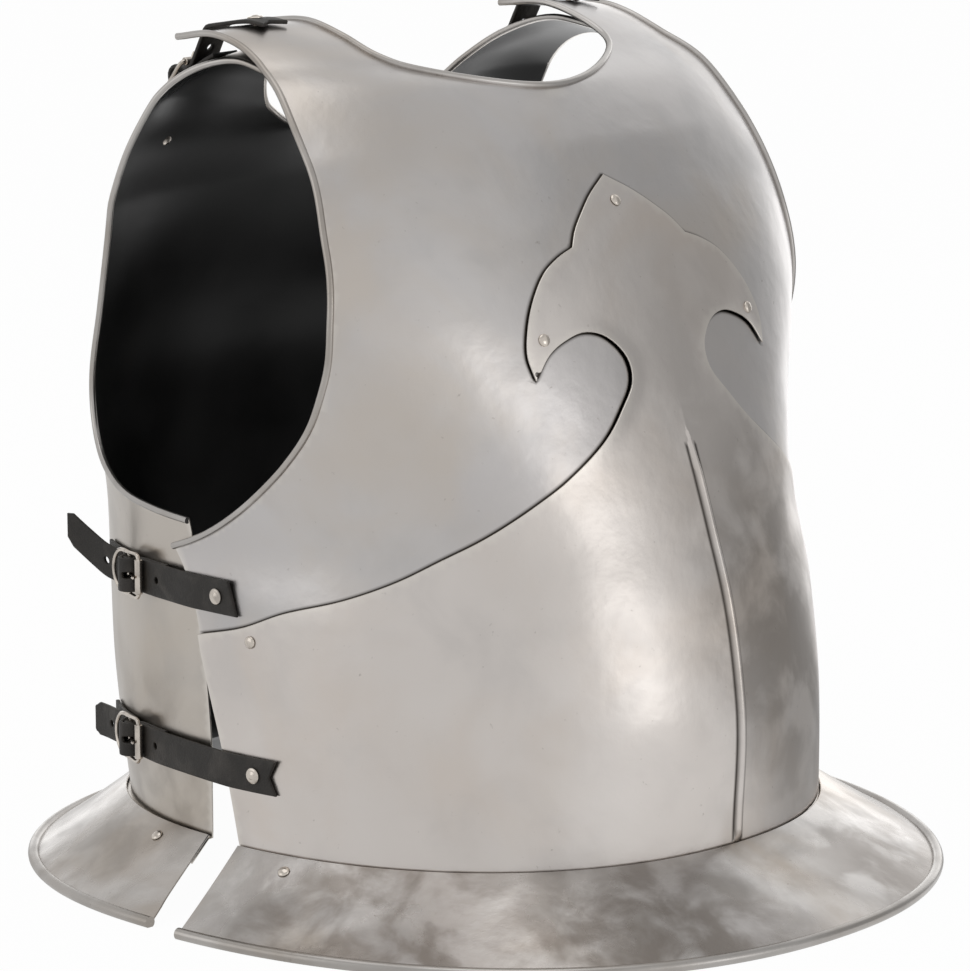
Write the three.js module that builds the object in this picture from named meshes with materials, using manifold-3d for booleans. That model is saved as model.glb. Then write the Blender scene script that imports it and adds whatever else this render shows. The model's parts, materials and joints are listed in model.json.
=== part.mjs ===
// Steel cuirass: breastplate, plackart, backplate and two skirts, joined by
// leather straps and roller buckles. Millimetres, +Z up, the front faces -Y and
// the wearer's right is -X. The ground is z = 0, under the rolled skirt rims.
import * as THREE from 'three';
import { mergeVertices } from 'three/addons/utils/BufferGeometryUtils.js';
import Module from 'manifold-3d';

const wasm = await Module();
wasm.setup();

// Whole body
const bodyHeight = 500;
const bodyHalfWidth = 200;
const frontDepth = 219;
const backDepth = 182;
const backTuck = 4.4;
const plateThickness = 1.2;
const restGap = 0.3;

// Rolled edges and the keel
const edgeRollRadius = 2;
const rimRollRadius = 3.4;
const rimFlatDepth = 0.6;
const keelWidth = 5.6;
const keelHeight = 2.4;

// Skirts and the flanges under them
const skirtTop = 40;
const sideFlare = 57;
const frontFlare = 75;
const rearFlare = 48;
const skirtStandOff = 3;
const flangeLength = 13;

// Straps; places behind the centre line are negative in front of it
const strapWidth = 20;
const leather = 2.4;
const upperStrapStart = -15;
const lowerStrapStart = -48;
const shoulderStrapLead = 44;
const sideLay = 0.2;
const shoulderLay = 0.5;
const rivetInset = 16;
const notchDepth = 5;
const slantDepth = 7;
const edgeMargin = 4;
const chapeLead = 20;
const chapeTail = 30;
const tailLength = 30;
const upperTailRise = 20;
const upperTailFlare = 2.3;
const strapHoleRadius = 2;
const strapHoleSpacing = 20;

// Buckles
const wireRadius = 1.25;
const rollerRadius = 2.3;
const buckleLength = 34;
const railOffset = 12.25;
const barSetback = 12;
const rollerEndGap = 0.8;
const rockGap = 0.8;
const prongRadius = 1.1;
const eyeRadius = 2.7;
const eyeWidth = 3;
const slotGap = 0.5;
const prongGap = 0.45;
const sideRollerBehind = 70;
const routeLead = 25;

// Rivets
const shankRadius = 1.8;
const plateHeadRadius = 3.6;
const strapHeadRadius = 4.6;
const headHeight = 1.6;
const tailRadius = 3.1;
const tailHeight = 0.8;
const tailSlack = 1.1;
const boreGap = 0.4;
const boreReach = 9;
const openHoleRadius = 1.6;
const endRivetLead = 25;

// Corners nearer than this are one corner
const weldDistance = 0.02;

// Cutters reach past what they cut by this much
const overrun = 30;

// Hoops from the waist to the neck: shares of bodyHeight, bodyHalfWidth and
// the depth of that half
const frontHoopShares = [
  [0.078, 0.998, 1.0], [0.176, 0.99, 1.003], [0.244, 0.98, 0.997], [0.348, 0.972, 0.957],
  [0.44, 0.966, 0.891], [0.55, 1.06, 0.806], [0.626, 1.146, 0.75], [0.69, 1.207, 0.694],
  [0.754, 1.222, 0.624], [0.824, 1.198, 0.525], [0.88, 1.113, 0.439], [0.922, 1.038, 0.358],
];
const backHoopShares = [
  [0.078, 0.998, 1.0], [0.176, 0.99, 1.08], [0.244, 0.985, 1.12], [0.348, 0.975, 1.15],
  [0.44, 0.985, 1.155], [0.55, 1.075, 1.12], [0.652, 1.17, 0.98], [0.74, 1.22, 0.87],
  [0.82, 1.25, 0.765], [0.85, 1.25, 0.7],
];

// Side edge, then armhole edge: shares of bodyHeight and, behind the body's
// centre line, of that half's depth. The first list of each ends at the corner.
const frontSideShares = [
  [0.076, -0.0913], [0.13, -0.0594], [0.184, -0.0228], [0.24, 0.0274], [0.298, 0.0731],
  [0.334, 0.0913], [0.382, 0.1416], [0.408, 0.1872],
];
const frontArmShares = [
  [0.42, 0.1107], [0.442, 0.0061], [0.48, -0.1321], [0.528, -0.2666], [0.572, -0.3502],
  [0.614, -0.3969], [0.654, -0.4218], [0.7, -0.4251], [0.74, -0.4126], [0.782, -0.3827],
  [0.834, -0.3329], [0.88, -0.2643], [0.922, -0.1884],
];
const backSideShares = [
  [0.076, 0.0495], [0.13, 0.0549], [0.184, 0.0604], [0.24, 0.0769], [0.298, 0.1044],
  [0.36, 0.1319], [0.42, 0.1538], [0.441, 0.1593],
];
const backArmShares = [
  [0.445, 0.3407], [0.452, 0.5275], [0.464, 0.6429], [0.486, 0.7582], [0.514, 0.8187],
  [0.545, 0.8407], [0.59, 0.8242], [0.652, 0.7747], [0.71, 0.7198], [0.76, 0.6648],
  [0.81, 0.6044], [0.85, 0.5495],
];

// Shoulder bands, from the neck row to the free end: neck-side edge x, y, z,
// arm-side edge x, y, z and the crown, as shares of bodyHalfWidth for x, of that
// half's depth for y and of bodyHeight for z and the crown
const frontBandShares = [
  [0.12, -0.3452, 0.9245, 0.884, -0.1598, 0.931, 0.001],
  [0.24, -0.3105, 0.934, 0.878, -0.137, 0.94, 0.002],
  [0.4, -0.2192, 0.946, 0.855, -0.0776, 0.952, 0.003],
  [0.485, -0.1324, 0.964, 0.838, -0.0274, 0.964, 0.004],
  [0.5, -0.0228, 0.984, 0.825, 0.0548, 0.98, 0.004],
  [0.5, 0.1005, 0.998, 0.825, 0.1461, 0.989, 0.003],
  [0.5, 0.274, 0.994, 0.825, 0.2831, 0.983, 0.002],
];
const backBandShares = [
  [0.1, 0.6813, 0.851, 0.848, 0.533, 0.858, 0.005],
  [0.2, 0.5769, 0.864, 0.845, 0.5165, 0.868, 0.01],
  [0.35, 0.4945, 0.892, 0.835, 0.4725, 0.896, 0.016],
  [0.42, 0.4176, 0.926, 0.815, 0.3956, 0.926, 0.014],
  [0.48, 0.2912, 0.96, 0.785, 0.2747, 0.95, 0.008],
  [0.55, 0.1374, 0.979, 0.76, 0.1429, 0.958, 0.003],
  [0.6, 0.011, 0.97, 0.75, 0.0275, 0.948, 0.001],
];
const shoulderTiltShare = 0.08;

// Strap places: shares of bodyHeight and, out from the middle, of bodyHalfWidth
const upperStrapShare = 0.362;
const lowerStrapShare = 0.166;
const shoulderStrapShare = 0.66;

// Skirt slope from the waist to the rim, and where its side ends stand
const skirtRowShares = [1, 0.66, 0.33, 0.1, 0];
const skirtBulgeShare = 0.12;
const flangeDropShare = 1.3;
const frontRimEndShare = -0.1416;
const rearRimEndShare = -0.022;
const skirtRivetShares = [0.16, 0.89];

// Plackart's top edge: round the flank as seen from the side (y, z), then the
// three-lobed head as seen from the front (x, z), from the flank to the peak
const flankShares = [
  [0.274, 0.305], [0.0868, 0.312], [-0.0822, 0.33], [-0.2192, 0.354], [-0.3836, 0.376],
  [-0.5068, 0.4], [-0.5982, 0.426], [-0.6941, 0.46], [-0.8219, 0.49],
];
const headShares = [
  [0.66, 0.451], [0.53, 0.486], [0.435, 0.51], [0.3, 0.548], [0.225, 0.578], [0.165, 0.608],
  [0.165, 0.634], [0.225, 0.659], [0.295, 0.666], [0.37, 0.659], [0.43, 0.646], [0.485, 0.62],
  [0.497, 0.645], [0.478, 0.675], [0.435, 0.705], [0.37, 0.732], [0.3, 0.747], [0.24, 0.755],
  [0.205, 0.772], [0.15, 0.79], [0.085, 0.808], [0, 0.826],
];
const flankShare = 0.63;
const breastFootShare = 0.24;
const plackartTopShare = 0.834;
const keelFootShare = 0.086;
const keelTopShare = 0.548;

// Plackart's rivets and its open hole: share of bodyHeight, degrees from the middle
const topRivetShares = [0.798, 0];
const lobeRivetShares = [0.662, 20];
const endRivetHeightShare = 0.316;
const openHoleShares = [0.626, -23];

// Buckle frame's half outline: shares of buckleLength and railOffset
const frameShares = [
  [0, 0.86], [0.04, 1], [0.35, 1], [0.66, 1], [0.82, 0.86], [0.94, 0.55], [1, 0.2],
];

// Leather round the bar: shares of the loop or arch radius, ahead of the bar and outward
const chapeLoopShares = [
  [-1.35, -1.75], [-1.06, -0.9], [-1, 0], [-0.71, 0.71], [0, 1],
  [0.71, 0.71], [1, 0], [1.06, -0.9], [1.35, -1.75],
];
const billetArchShares = [
  [-1.3, -0.62], [-0.94, 0.5], [-0.53, 0.92], [0, 1.06], [0.53, 0.92], [0.92, 0.55],
  [1.5, -0.05], [2.3, -0.5],
];
const tailShares = [[0.3, 0.1], [0.65, 0.25], [1, 0.5]];
const spareHoleShares = [-1.25, 1.75];
const prongSwingDegrees = 12;
const pinShares = [[0, 1], [0.8, 0.9], [1, 0.6]];

// Where points stand along each stretch of leather: shares of that stretch
const stretchShares = [0, 0.25, 0.5, 0.75, 1];
const chapeLeadShares = [-1, -0.5, 0];
const chapeLayShares = [0.62, 0.8, 1];
const chapeTailShares = [0.35, 0.7, 1];
const billetLayShares = [0.85, 1];
const shoulderLeadShares = [1, 0.75, 0.5, 0.25, 0.05];

// The shoulder billet steps down behind its plate: leather thicknesses back and down
const shoulderStepShares = [[1.6, 0.5], [3.2, 3]];
const rivetCrownShares = [0.72, 0.75];
const keelPointShare = 0.1;
const prongHoleShares = [0, 0.5, 1];

const halfColumns = 10;
const rollSeatShare = 0.96;
const rollSides = 6;
const roundSides = 8;
const rollerSides = 12;
const routePoints = 10;
const breastStrapRows = 5;
const backStrapRows = [11, 2];
const surfaceStep = 0.001;
const bodyCentreY = (frontDepth + frontFlare - backDepth - rearFlare) / 2;
const up = new THREE.Vector3(0, 0, 1);
const at = (x, y, z) => new THREE.Vector3(x, y, z);

const steelLook = { color: 0x9c9a98, roughness: 0.38, metalness: 1 };
const nickelLook = { color: 0xd7cdc3, roughness: 0.22, metalness: 1 };
const leatherLook = { color: 0x35302c, roughness: 0.62, metalness: 0 };

const front = {
  facing: -1, depth: frontDepth, flare: frontFlare, tuck: 0, power: 2.15,
  hoops: frontHoopShares, bands: frontBandShares, rimEnd: frontRimEndShare,
  levels: [...frontSideShares, ...frontArmShares], corner: frontSideShares.length - 1,
};
const back = {
  facing: 1, depth: backDepth, flare: rearFlare, tuck: backTuck, power: 2.3,
  hoops: backHoopShares, bands: backBandShares, rimEnd: rearRimEndShare,
  levels: [...backSideShares, ...backArmShares], corner: backSideShares.length - 1,
};

// Value of a column at a key, on a smooth line through the rows
function along(rows, key, column) {
  let i = 1;
  while (i < rows.length - 1 && rows[i][0] < key) i++;
  const [a, b] = [rows[i - 1], rows[i]];
  const before = rows[Math.max(i - 2, 0)];
  const after = rows[Math.min(i + 1, rows.length - 1)];
  const span = b[0] - a[0];
  const slopeA = ((b[column] - before[column]) / (b[0] - before[0])) * span;
  const slopeB = ((after[column] - a[column]) / (after[0] - a[0])) * span;
  const t = THREE.MathUtils.clamp((key - a[0]) / span, 0, 1);
  const [t2, t3] = [t * t, t * t * t];
  return (2 * t3 - 3 * t2 + 1) * a[column] + (t3 - 2 * t2 + t) * slopeA
    + (3 * t2 - 2 * t3) * b[column] + (t3 - t2) * slopeB;
}

function geometryOf(positions, index) {
  const geometry = new THREE.BufferGeometry();
  geometry.setAttribute('position', new THREE.Float32BufferAttribute(positions, 3));
  geometry.setIndex(index);
  return geometry;
}

// Closed solid through rings of equal count; a loop joins its last ring to its first
function loft(rings, loop = false) {
  const count = rings[0].length;
  const index = [];
  const bands = loop ? rings.length : rings.length - 1;
  for (let r = 0; r < bands; r++) {
    const above = ((r + 1) % rings.length) * count;
    for (let i = 0; i < count; i++) {
      const j = (i + 1) % count;
      index.push(r * count + i, r * count + j, above + i, r * count + j, above + j, above + i);
    }
  }
  const last = (rings.length - 1) * count;
  for (let i = 1; !loop && i + 1 < count; i++) {
    index.push(0, i + 1, i, last, last + i, last + i + 1);
  }
  return geometryOf(rings.flat().flatMap((p) => [p.x, p.y, p.z]), index);
}

// Round bar along points; each ring turns with the normal given for its point
function sweep(points, normals, radii, sides, loop = false) {
  const count = points.length;
  const rings = points.map((point, i) => {
    const next = points[loop ? (i + 1) % count : Math.min(i + 1, count - 1)];
    const previous = points[loop ? (i + count - 1) % count : Math.max(i - 1, 0)];
    const tangent = next.clone().sub(previous).normalize();
    const side = tangent.clone().cross(normals[i]).normalize();
    const out = side.clone().cross(tangent);
    return Array.from({ length: sides }, (_, k) => {
      const angle = (2 * Math.PI * k) / sides;
      return point.clone().addScaledVector(out, radii[i] * Math.cos(angle))
        .addScaledVector(side, radii[i] * Math.sin(angle));
    });
  });
  return loft(rings, loop);
}

function solidOf(geometry) {
  const bare = geometry.clone();
  for (const name of ['normal', 'uv']) bare.deleteAttribute(name);
  const merged = mergeVertices(bare);
  const build = (triangles) => new wasm.Manifold(new wasm.Mesh({
    numProp: 3,
    vertProperties: new Float32Array(merged.attributes.position.array),
    triVerts: new Uint32Array(triangles),
  }));
  const triangles = Array.from(merged.index.array);
  const solid = build(triangles);
  return solid.volume() > 0 ? solid : build(triangles.reverse());
}

function geometryFrom(solid) {
  const { vertProperties, triVerts } = solid.getMesh();
  return geometryOf(Array.from(vertProperties), Array.from(triVerts));
}

function cutAll(solid, cutters) {
  return cutters.reduce((rest, cutter) => rest.subtract(cutter), solid);
}

function hoop(shell, height) {
  return {
    width: along(shell.hoops, height, 1) * bodyHalfWidth - shell.tuck,
    depth: along(shell.hoops, height, 2) * shell.depth,
  };
}

// Angle round a hoop, from its middle, of a place behind the centre line
function angleOf(shell, size, behind) {
  const share = THREE.MathUtils.clamp((shell.facing * behind) / size.depth, -1, 1);
  return Math.acos(Math.sign(share) * Math.abs(share) ** (shell.power / 2));
}

// Past the centre line a half runs straight on
function hoopPoint(shell, size, angle, z) {
  const [s, c] = [Math.sin(angle), Math.cos(angle)];
  const reach = c < 0 ? 1 : Math.abs(s) ** (2 / shell.power);
  const bow = Math.sign(c) * Math.abs(c) ** (2 / shell.power);
  return at(size.width * Math.sign(s) * reach, bodyCentreY + shell.facing * size.depth * bow, z);
}

function bodyPoint(shell, height, angle) {
  return hoopPoint(shell, hoop(shell, height), angle, height * bodyHeight);
}

// Spread 0 is the skirt's top edge and spread 1 the middle of its rim
function skirtPoint(shell, spread, share, drop = 0) {
  const body = hoop(shell, shell.levels[0][0]);
  const top = { width: body.width + skirtStandOff, depth: body.depth + skirtStandOff };
  const rim = { width: top.width + sideFlare, depth: top.depth + shell.flare };
  const size = {
    width: THREE.MathUtils.lerp(top.width, rim.width, spread),
    depth: THREE.MathUtils.lerp(top.depth, rim.depth, spread),
  };
  const topEnd = angleOf(shell, top, shell.levels[0][1] * shell.depth);
  const rimEnd = angleOf(shell, rim, shell.rimEnd * shell.depth);
  const angle = share * THREE.MathUtils.lerp(topEnd, rimEnd, spread);
  const fall = (skirtTop - rimRollRadius + rimFlatDepth) * spread;
  const z = skirtTop - drop - fall * (1 + skirtBulgeShare * (1 - spread));
  return hoopPoint(shell, size, angle, z);
}

function seatOf(surface, u, v) {
  const point = surface(u, v);
  const normal = surface(u + surfaceStep, v).sub(point)
    .cross(surface(u, v + surfaceStep).sub(point));
  const outward = at(point.x, point.y - bodyCentreY, 0);
  return { point, normal: normal.normalize().multiplyScalar(Math.sign(normal.dot(outward))) };
}

function addRow(sheet, row) {
  return row.map((point) => sheet.points.push(point) - 1);
}

function joinRows(sheet, below, above, flipped) {
  for (let c = 0; c + 1 < below.length; c++) {
    const quad = [below[c], below[c + 1], above[c + 1], above[c]];
    sheet.quads.push(flipped ? quad.reverse() : quad);
  }
}

// A sheet is points and quads; its rows run from below upward
function sheetOf(rows, flipped) {
  const sheet = { points: [], quads: [], flipped, rows: [] };
  for (const row of rows) {
    sheet.rows.push(addRow(sheet, row));
    const count = sheet.rows.length;
    if (count > 1) joinRows(sheet, sheet.rows[count - 2], sheet.rows[count - 1], flipped);
  }
  return sheet;
}

const columnShares = Array.from({ length: 2 * halfColumns + 1 },
  (_, c) => (c - halfColumns) / halfColumns);

function bodyRow(shell, [height, behindShare]) {
  const end = angleOf(shell, hoop(shell, height), behindShare * shell.depth);
  return columnShares.map((share) => bodyPoint(shell, height, end * share));
}

function flangeRows(shell, outer) {
  const drop = flangeDropShare * (outer + plateThickness + restGap);
  return [flangeLength / shell.flare, 0].map((spread) => (
    columnShares.map((share) => skirtPoint(shell, spread, share, drop))));
}

function bandPoint(start, shell, shares, t, side) {
  const [neckX, neckY, neckZ, armX, armY, armZ, crown] = shares;
  const neck = at(side * neckX * bodyHalfWidth, bodyCentreY + neckY * shell.depth,
    neckZ * bodyHeight);
  const arm = at(side * armX * bodyHalfWidth, bodyCentreY + armY * shell.depth,
    armZ * bodyHeight);
  const [first, last] = [start[0], start[start.length - 1]];
  const fade = (neck.distanceTo(arm) / first.distanceTo(last)) ** 2;
  const bulge = start[Math.round(t * halfColumns)].clone().sub(first.clone().lerp(last, t));
  return neck.clone().lerp(arm, t).addScaledVector(bulge, fade)
    .addScaledVector(up, 4 * t * (1 - t) * crown * bodyHeight);
}

// Adds the two shoulder bands and notes the edges to be rolled
function addBands(sheet, shell, cornerRow) {
  const top = sheet.rows[sheet.rows.length - 1];
  sheet.sides = {};
  for (const side of [-1, 1]) {
    const half = (row) => (side > 0 ? row.slice(halfColumns)
      : row.slice(0, halfColumns + 1).reverse());
    const start = half(top).map((i) => sheet.points[i]);
    const rows = sheet.rows.map(half);
    for (const shares of shell.bands) {
      const row = addRow(sheet, start.map((_, c) => (
        bandPoint(start, shell, shares, c / halfColumns, side))));
      joinRows(sheet, rows[rows.length - 1], row, sheet.flipped === side > 0);
      rows.push(row);
    }
    sheet.sides[side] = {
      rows,
      arm: rows.slice(cornerRow).map((row) => row[halfColumns]),
      neck: rows.slice(sheet.rows.length - 1).map((row) => row[0]),
    };
  }
  return sheet;
}

function sheetNormals(sheet) {
  const normals = sheet.points.map(() => at(0, 0, 0));
  for (const quad of sheet.quads) {
    const [a, b, c, d] = quad.map((i) => sheet.points[i]);
    const normal = c.clone().sub(a).cross(d.clone().sub(b)).normalize();
    quad.forEach((i) => normals[i].add(normal));
  }
  return normals.map((normal) => normal.normalize());
}

// The plate between two offsets from a sheet
function plate(sheet, inner, outer) {
  const normals = sheetNormals(sheet);
  const offset = (by) => sheet.points.map((p, i) => p.clone().addScaledVector(normals[i], by));
  const count = sheet.points.length;
  const index = [];
  const open = new Map();
  for (const [a, b, c, d] of sheet.quads) {
    index.push(a, b, c, a, c, d);
    index.push(a + count, c + count, b + count, a + count, d + count, c + count);
    for (const [from, to] of [[a, b], [b, c], [c, d], [d, a]]) {
      if (!open.delete(`${to},${from}`)) open.set(`${from},${to}`, [from, to]);
    }
  }
  for (const [from, to] of open.values()) {
    index.push(from, from + count, to, to, from + count, to + count);
  }
  return geometryOf([...offset(outer), ...offset(inner)].flatMap((p) => [p.x, p.y, p.z]), index);
}

// A rolled edge is all but level with the plate's inner side and stands out beyond its outer side
function roll(sheet, edge, inner, radius) {
  const normals = sheetNormals(sheet);
  const points = edge.map((i) => (
    sheet.points[i].clone().addScaledVector(normals[i], inner + radius * rollSeatShare)));
  return solidOf(sweep(points, edge.map((i) => normals[i]), points.map(() => radius), rollSides));
}

// A hollow shut in beside a roll is filled
function rolledPlate(sheet, inner, outer) {
  const { [-1]: rightSide, 1: leftSide } = sheet.sides;
  const neck = [...rightSide.neck].reverse().concat(leftSide.neck.slice(1));
  const joined = [rightSide.arm, leftSide.arm, neck].reduce(
    (solid, edge) => solid.add(roll(sheet, edge, inner, edgeRollRadius)),
    solidOf(plate(sheet, inner, outer)),
  );
  return joined.decompose().sort((a, b) => b.volume() - a.volume())[0];
}

function skirt(shell) {
  const sheet = sheetOf(skirtRowShares.map((spread) => (
    columnShares.map((share) => skirtPoint(shell, spread, share)))), shell.facing > 0);
  const rim = sheet.rows[0].map((i) => sheet.points[i]);
  const rolled = sweep(rim, rim.map(() => up), rim.map(() => rimRollRadius), roundSides);
  const reach = 2 * (bodyHalfWidth + frontDepth + frontFlare);
  const ground = new THREE.BoxGeometry(reach, reach, overrun).translate(0, 0, -overrun / 2);
  return solidOf(plate(sheet, -plateThickness, 0)).add(solidOf(rolled)).subtract(solidOf(ground));
}

function bore(seat, radius) {
  const geometry = new THREE.CylinderGeometry(radius, radius, 2 * boreReach, roundSides);
  geometry.rotateX(Math.PI / 2);
  geometry.applyQuaternion(new THREE.Quaternion().setFromUnitVectors(up, seat.normal));
  return solidOf(geometry.translate(seat.point.x, seat.point.y, seat.point.z));
}

const rivetBore = (seat) => bore(seat, shankRadius + boreGap);

const group = new THREE.Group();
group.name = 'steel_cuirass';

function add(name, solid, look, position, quaternion) {
  const geometry = geometryFrom(solid.setTolerance(weldDistance));
  geometry.computeVertexNormals();
  const mesh = new THREE.Mesh(geometry, new THREE.MeshStandardMaterial(look));
  mesh.name = name;
  if (position) mesh.position.copy(position);
  if (quaternion) mesh.quaternion.copy(quaternion);
  group.add(mesh);
}

// A rivet's head stands on the outer face and its tail under the inner one
function addRivet(name, seat, inner, outer, headRadius) {
  const head = outer + restGap;
  const tail = inner - restGap - tailSlack;
  const profile = [
    [0, tail - tailHeight], [tailRadius, tail - tailHeight], [tailRadius, tail],
    [shankRadius, tail], [shankRadius, head], [headRadius, head],
    [headRadius * rivetCrownShares[0], head + headHeight * rivetCrownShares[1]],
    [0, head + headHeight],
  ].map(([x, y]) => new THREE.Vector2(x, y));
  const geometry = new THREE.LatheGeometry(profile, roundSides).rotateX(Math.PI / 2);
  const quaternion = new THREE.Quaternion().setFromUnitVectors(up, seat.normal);
  add(name, solidOf(geometry), nickelLook, seat.point, quaternion);
}

// The outermost places across a strap's width along one side's rows
function shoulderLine(sheet, side, rows) {
  const strapOut = shoulderStrapShare * bodyHalfWidth;
  const crossing = (row, out) => {
    const points = row.map((i) => sheet.points[i]);
    const next = points.findIndex((p) => Math.abs(p.x) >= out);
    const [a, b] = [points[next - 1], points[next]];
    return a.clone().lerp(b, (out - Math.abs(a.x)) / (Math.abs(b.x) - Math.abs(a.x)));
  };
  return rows.map((row) => {
    const middle = crossing(row, strapOut);
    const rises = [-1, 0, 1].map((k) => {
      const shift = (k * strapWidth) / 2;
      const place = crossing(row, strapOut + shift);
      return (place.y - middle.y + place.z + shoulderTiltShare * shift - middle.z) / 2;
    });
    const rise = Math.max(...rises);
    return at(side * strapOut, middle.y + rise, middle.z + rise);
  });
}

// The furthest out a half reaches across a strap's width
function flankPoint(shell, z, behind, side, lift = 0) {
  const reaches = [-1, 0, 1].map((k) => {
    const height = (z + (k * strapWidth) / 2) / bodyHeight;
    return bodyPoint(shell, height, angleOf(shell, hoop(shell, height), behind)).x;
  });
  return at(side * (Math.max(...reaches) + lift), bodyCentreY + behind, z);
}

function flankSeat(z, behind, side) {
  const place = (shift) => flankPoint(front, z, behind + shift * edgeMargin, side);
  const normal = place(1).sub(place(-1)).cross(up).multiplyScalar(side).normalize();
  return { point: place(0), normal };
}

function lineSeat(curve, distance, axis) {
  const share = THREE.MathUtils.clamp(distance / curve.getLength(), 0, 1);
  const normal = curve.getTangentAt(share).cross(axis).normalize();
  return { point: curve.getPointAt(share), normal };
}

function lifted(seat, lift) {
  return seat.point.clone().addScaledVector(seat.normal, lift);
}

// A leather strip through points; its first end may be notched or slanted
function strip(points, axis, notch, slant) {
  const rows = points.map((point) => (
    [-1, 0, 1].map((k) => point.clone().addScaledVector(axis, (k * strapWidth) / 2))));
  const first = points[1].clone().sub(points[0]).normalize();
  rows[0][1].addScaledVector(first, notch + Math.abs(slant) / 2);
  if (slant) rows[0][1 + Math.sign(slant)].addScaledVector(first, Math.abs(slant));
  return solidOf(plate(sheetOf(rows, false), -leather / 2, leather / 2));
}

const spacing = restGap + leather;
const loopRadius = wireRadius + restGap + leather / 2;
const archRadius = loopRadius + spacing;
const frameLift = 2 * spacing + rockGap + rollerRadius;
const prongRise = rollerRadius + prongGap + prongRadius;
const prongAngle = Math.atan2(prongRise, barSetback);

function ring(inner, outer, length, segments) {
  const half = length / 2;
  const profile = inner > 0
    ? [[inner, -half], [outer, -half], [outer, half], [inner, half], [inner, -half]]
    : [[0, -half], [outer, -half], [outer, half], [0, half]];
  return solidOf(new THREE.LatheGeometry(profile.map(([x, y]) => new THREE.Vector2(x, y)),
    segments));
}

function pinAt(angle, radius, from, to) {
  const direction = at(-Math.cos(angle), 0, Math.sin(angle));
  const points = pinShares.map(([share]) => (
    direction.clone().multiplyScalar(from + (to - from) * share)));
  return solidOf(sweep(points, points.map(() => at(0, 1, 0)),
    pinShares.map(([, size]) => radius * size), rollSides));
}

function buckleFrame() {
  const half = frameShares.map(([x, y]) => at(x * buckleLength, y * railOffset, 0));
  const points = [...half, ...half.map((p) => at(p.x, -p.y, 0)).reverse()];
  const loop = sweep(points, points.map(() => up), points.map(() => wireRadius), rollSides, true);
  const barEnds = [at(barSetback, -railOffset, 0), at(barSetback, railOffset, 0)];
  return solidOf(loop)
    .add(solidOf(sweep(barEnds, [up, up], [wireRadius, wireRadius], rollSides)));
}

function prong() {
  const start = (wireRadius + restGap + eyeRadius) / 2;
  const reach = Math.hypot(barSetback, prongRise) + rollerRadius;
  return ring(wireRadius + restGap, eyeRadius, eyeWidth, roundSides)
    .add(pinAt(prongAngle, prongRadius, start, reach));
}

// Billet, chape, buckle and two rivets. The route follows the back half rearward
// and the buckle's own axes point rearward, across the strap and outward.
function addStrap(name, place) {
  const { route, lay } = place;
  const seatAt = (distance) => lineSeat(route, routeLead + distance, place.axis);
  const onPlate = lay + restGap + leather / 2;
  const onChape = onPlate + spacing;
  const layAt = (distance, lift) => lifted(seatAt(distance), lift);
  const rearward = seatAt(buckleLength).point.clone().sub(seatAt(0).point).normalize();
  const outward = rearward.clone().cross(place.axis).normalize();
  const axis = outward.clone().cross(rearward);
  const origin = seatAt(0).point.clone().addScaledVector(outward, lay + frameLift);
  const basis = new THREE.Matrix4().makeBasis(rearward, axis, outward);
  const quaternion = new THREE.Quaternion().setFromRotationMatrix(basis);
  const bar = origin.clone().addScaledVector(rearward, barSetback);
  const roundBar = (shares, radius) => shares.map(([x, z]) => bar.clone()
    .addScaledVector(rearward, x * radius).addScaledVector(outward, z * radius));
  const toBar = (solid) => (
    solidOf(geometryFrom(solid).applyMatrix4(basis.clone().setPosition(bar))));

  const chapePoints = [
    ...chapeLeadShares.map((k) => layAt(k * chapeLead, onPlate)),
    ...roundBar(chapeLoopShares, loopRadius),
    ...chapeLayShares.map((k) => layAt(k * buckleLength, onPlate)),
    ...chapeTailShares.map((k) => layAt(buckleLength + k * chapeTail, onPlate)),
  ];
  const slot = ring(0, loopRadius + leather / 2 + slotGap, eyeWidth + 2 * slotGap, roundSides);
  const chapeSeat = seatAt(buckleLength + chapeTail - rivetInset / 2);
  const chape = cutAll(strip(chapePoints, axis, 0, 0), [toBar(slot), rivetBore(chapeSeat)]);

  const tailPoints = tailShares.map(([run, lift]) => (
    layAt(buckleLength + run * tailLength, onChape + lift * place.tailFlare * strapWidth)
      .addScaledVector(up, place.tailRise * run ** 2)));
  const billetPoints = [
    ...place.start(onChape, layAt), layAt(0, onChape), ...roundBar(billetArchShares, archRadius),
    ...billetLayShares.map((k) => layAt(k * buckleLength, onChape)), ...tailPoints,
  ];
  const prongHoles = prongHoleShares.map((k) => toBar(pinAt(
    prongAngle + THREE.MathUtils.degToRad(k * prongSwingDegrees), prongRadius + slotGap,
    eyeRadius, barSetback)));
  const spareHoles = spareHoleShares.map((k) => (
    bore(seatAt(barSetback + k * strapHoleSpacing), strapHoleRadius)));
  const billet = cutAll(strip(billetPoints, axis, place.notch, place.slant),
    [rivetBore(place.seat), ...prongHoles, ...spareHoles]);

  const rollerLength = 2 * (railOffset - wireRadius - rollerEndGap);
  const roller = ring(wireRadius + restGap, rollerRadius, rollerLength, rollerSides);
  add(`${name}_billet`, billet, leatherLook);
  add(`${name}_chape`, chape, leatherLook);
  add(`${name}_buckle_frame`, buckleFrame(), nickelLook, origin, quaternion);
  add(`${name}_prong`, prong(), nickelLook, bar, quaternion);
  add(`${name}_roller`, roller, nickelLook, origin, quaternion);
  addRivet(`${name}_billet_rivet`, place.seat, place.inner, place.outer + lay + spacing,
    strapHeadRadius);
  addRivet(`${name}_chape_rivet`, chapeSeat, -plateThickness - 2 * lay, lay + spacing,
    strapHeadRadius);
  backBores.push(rivetBore(chapeSeat));
}

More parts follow.
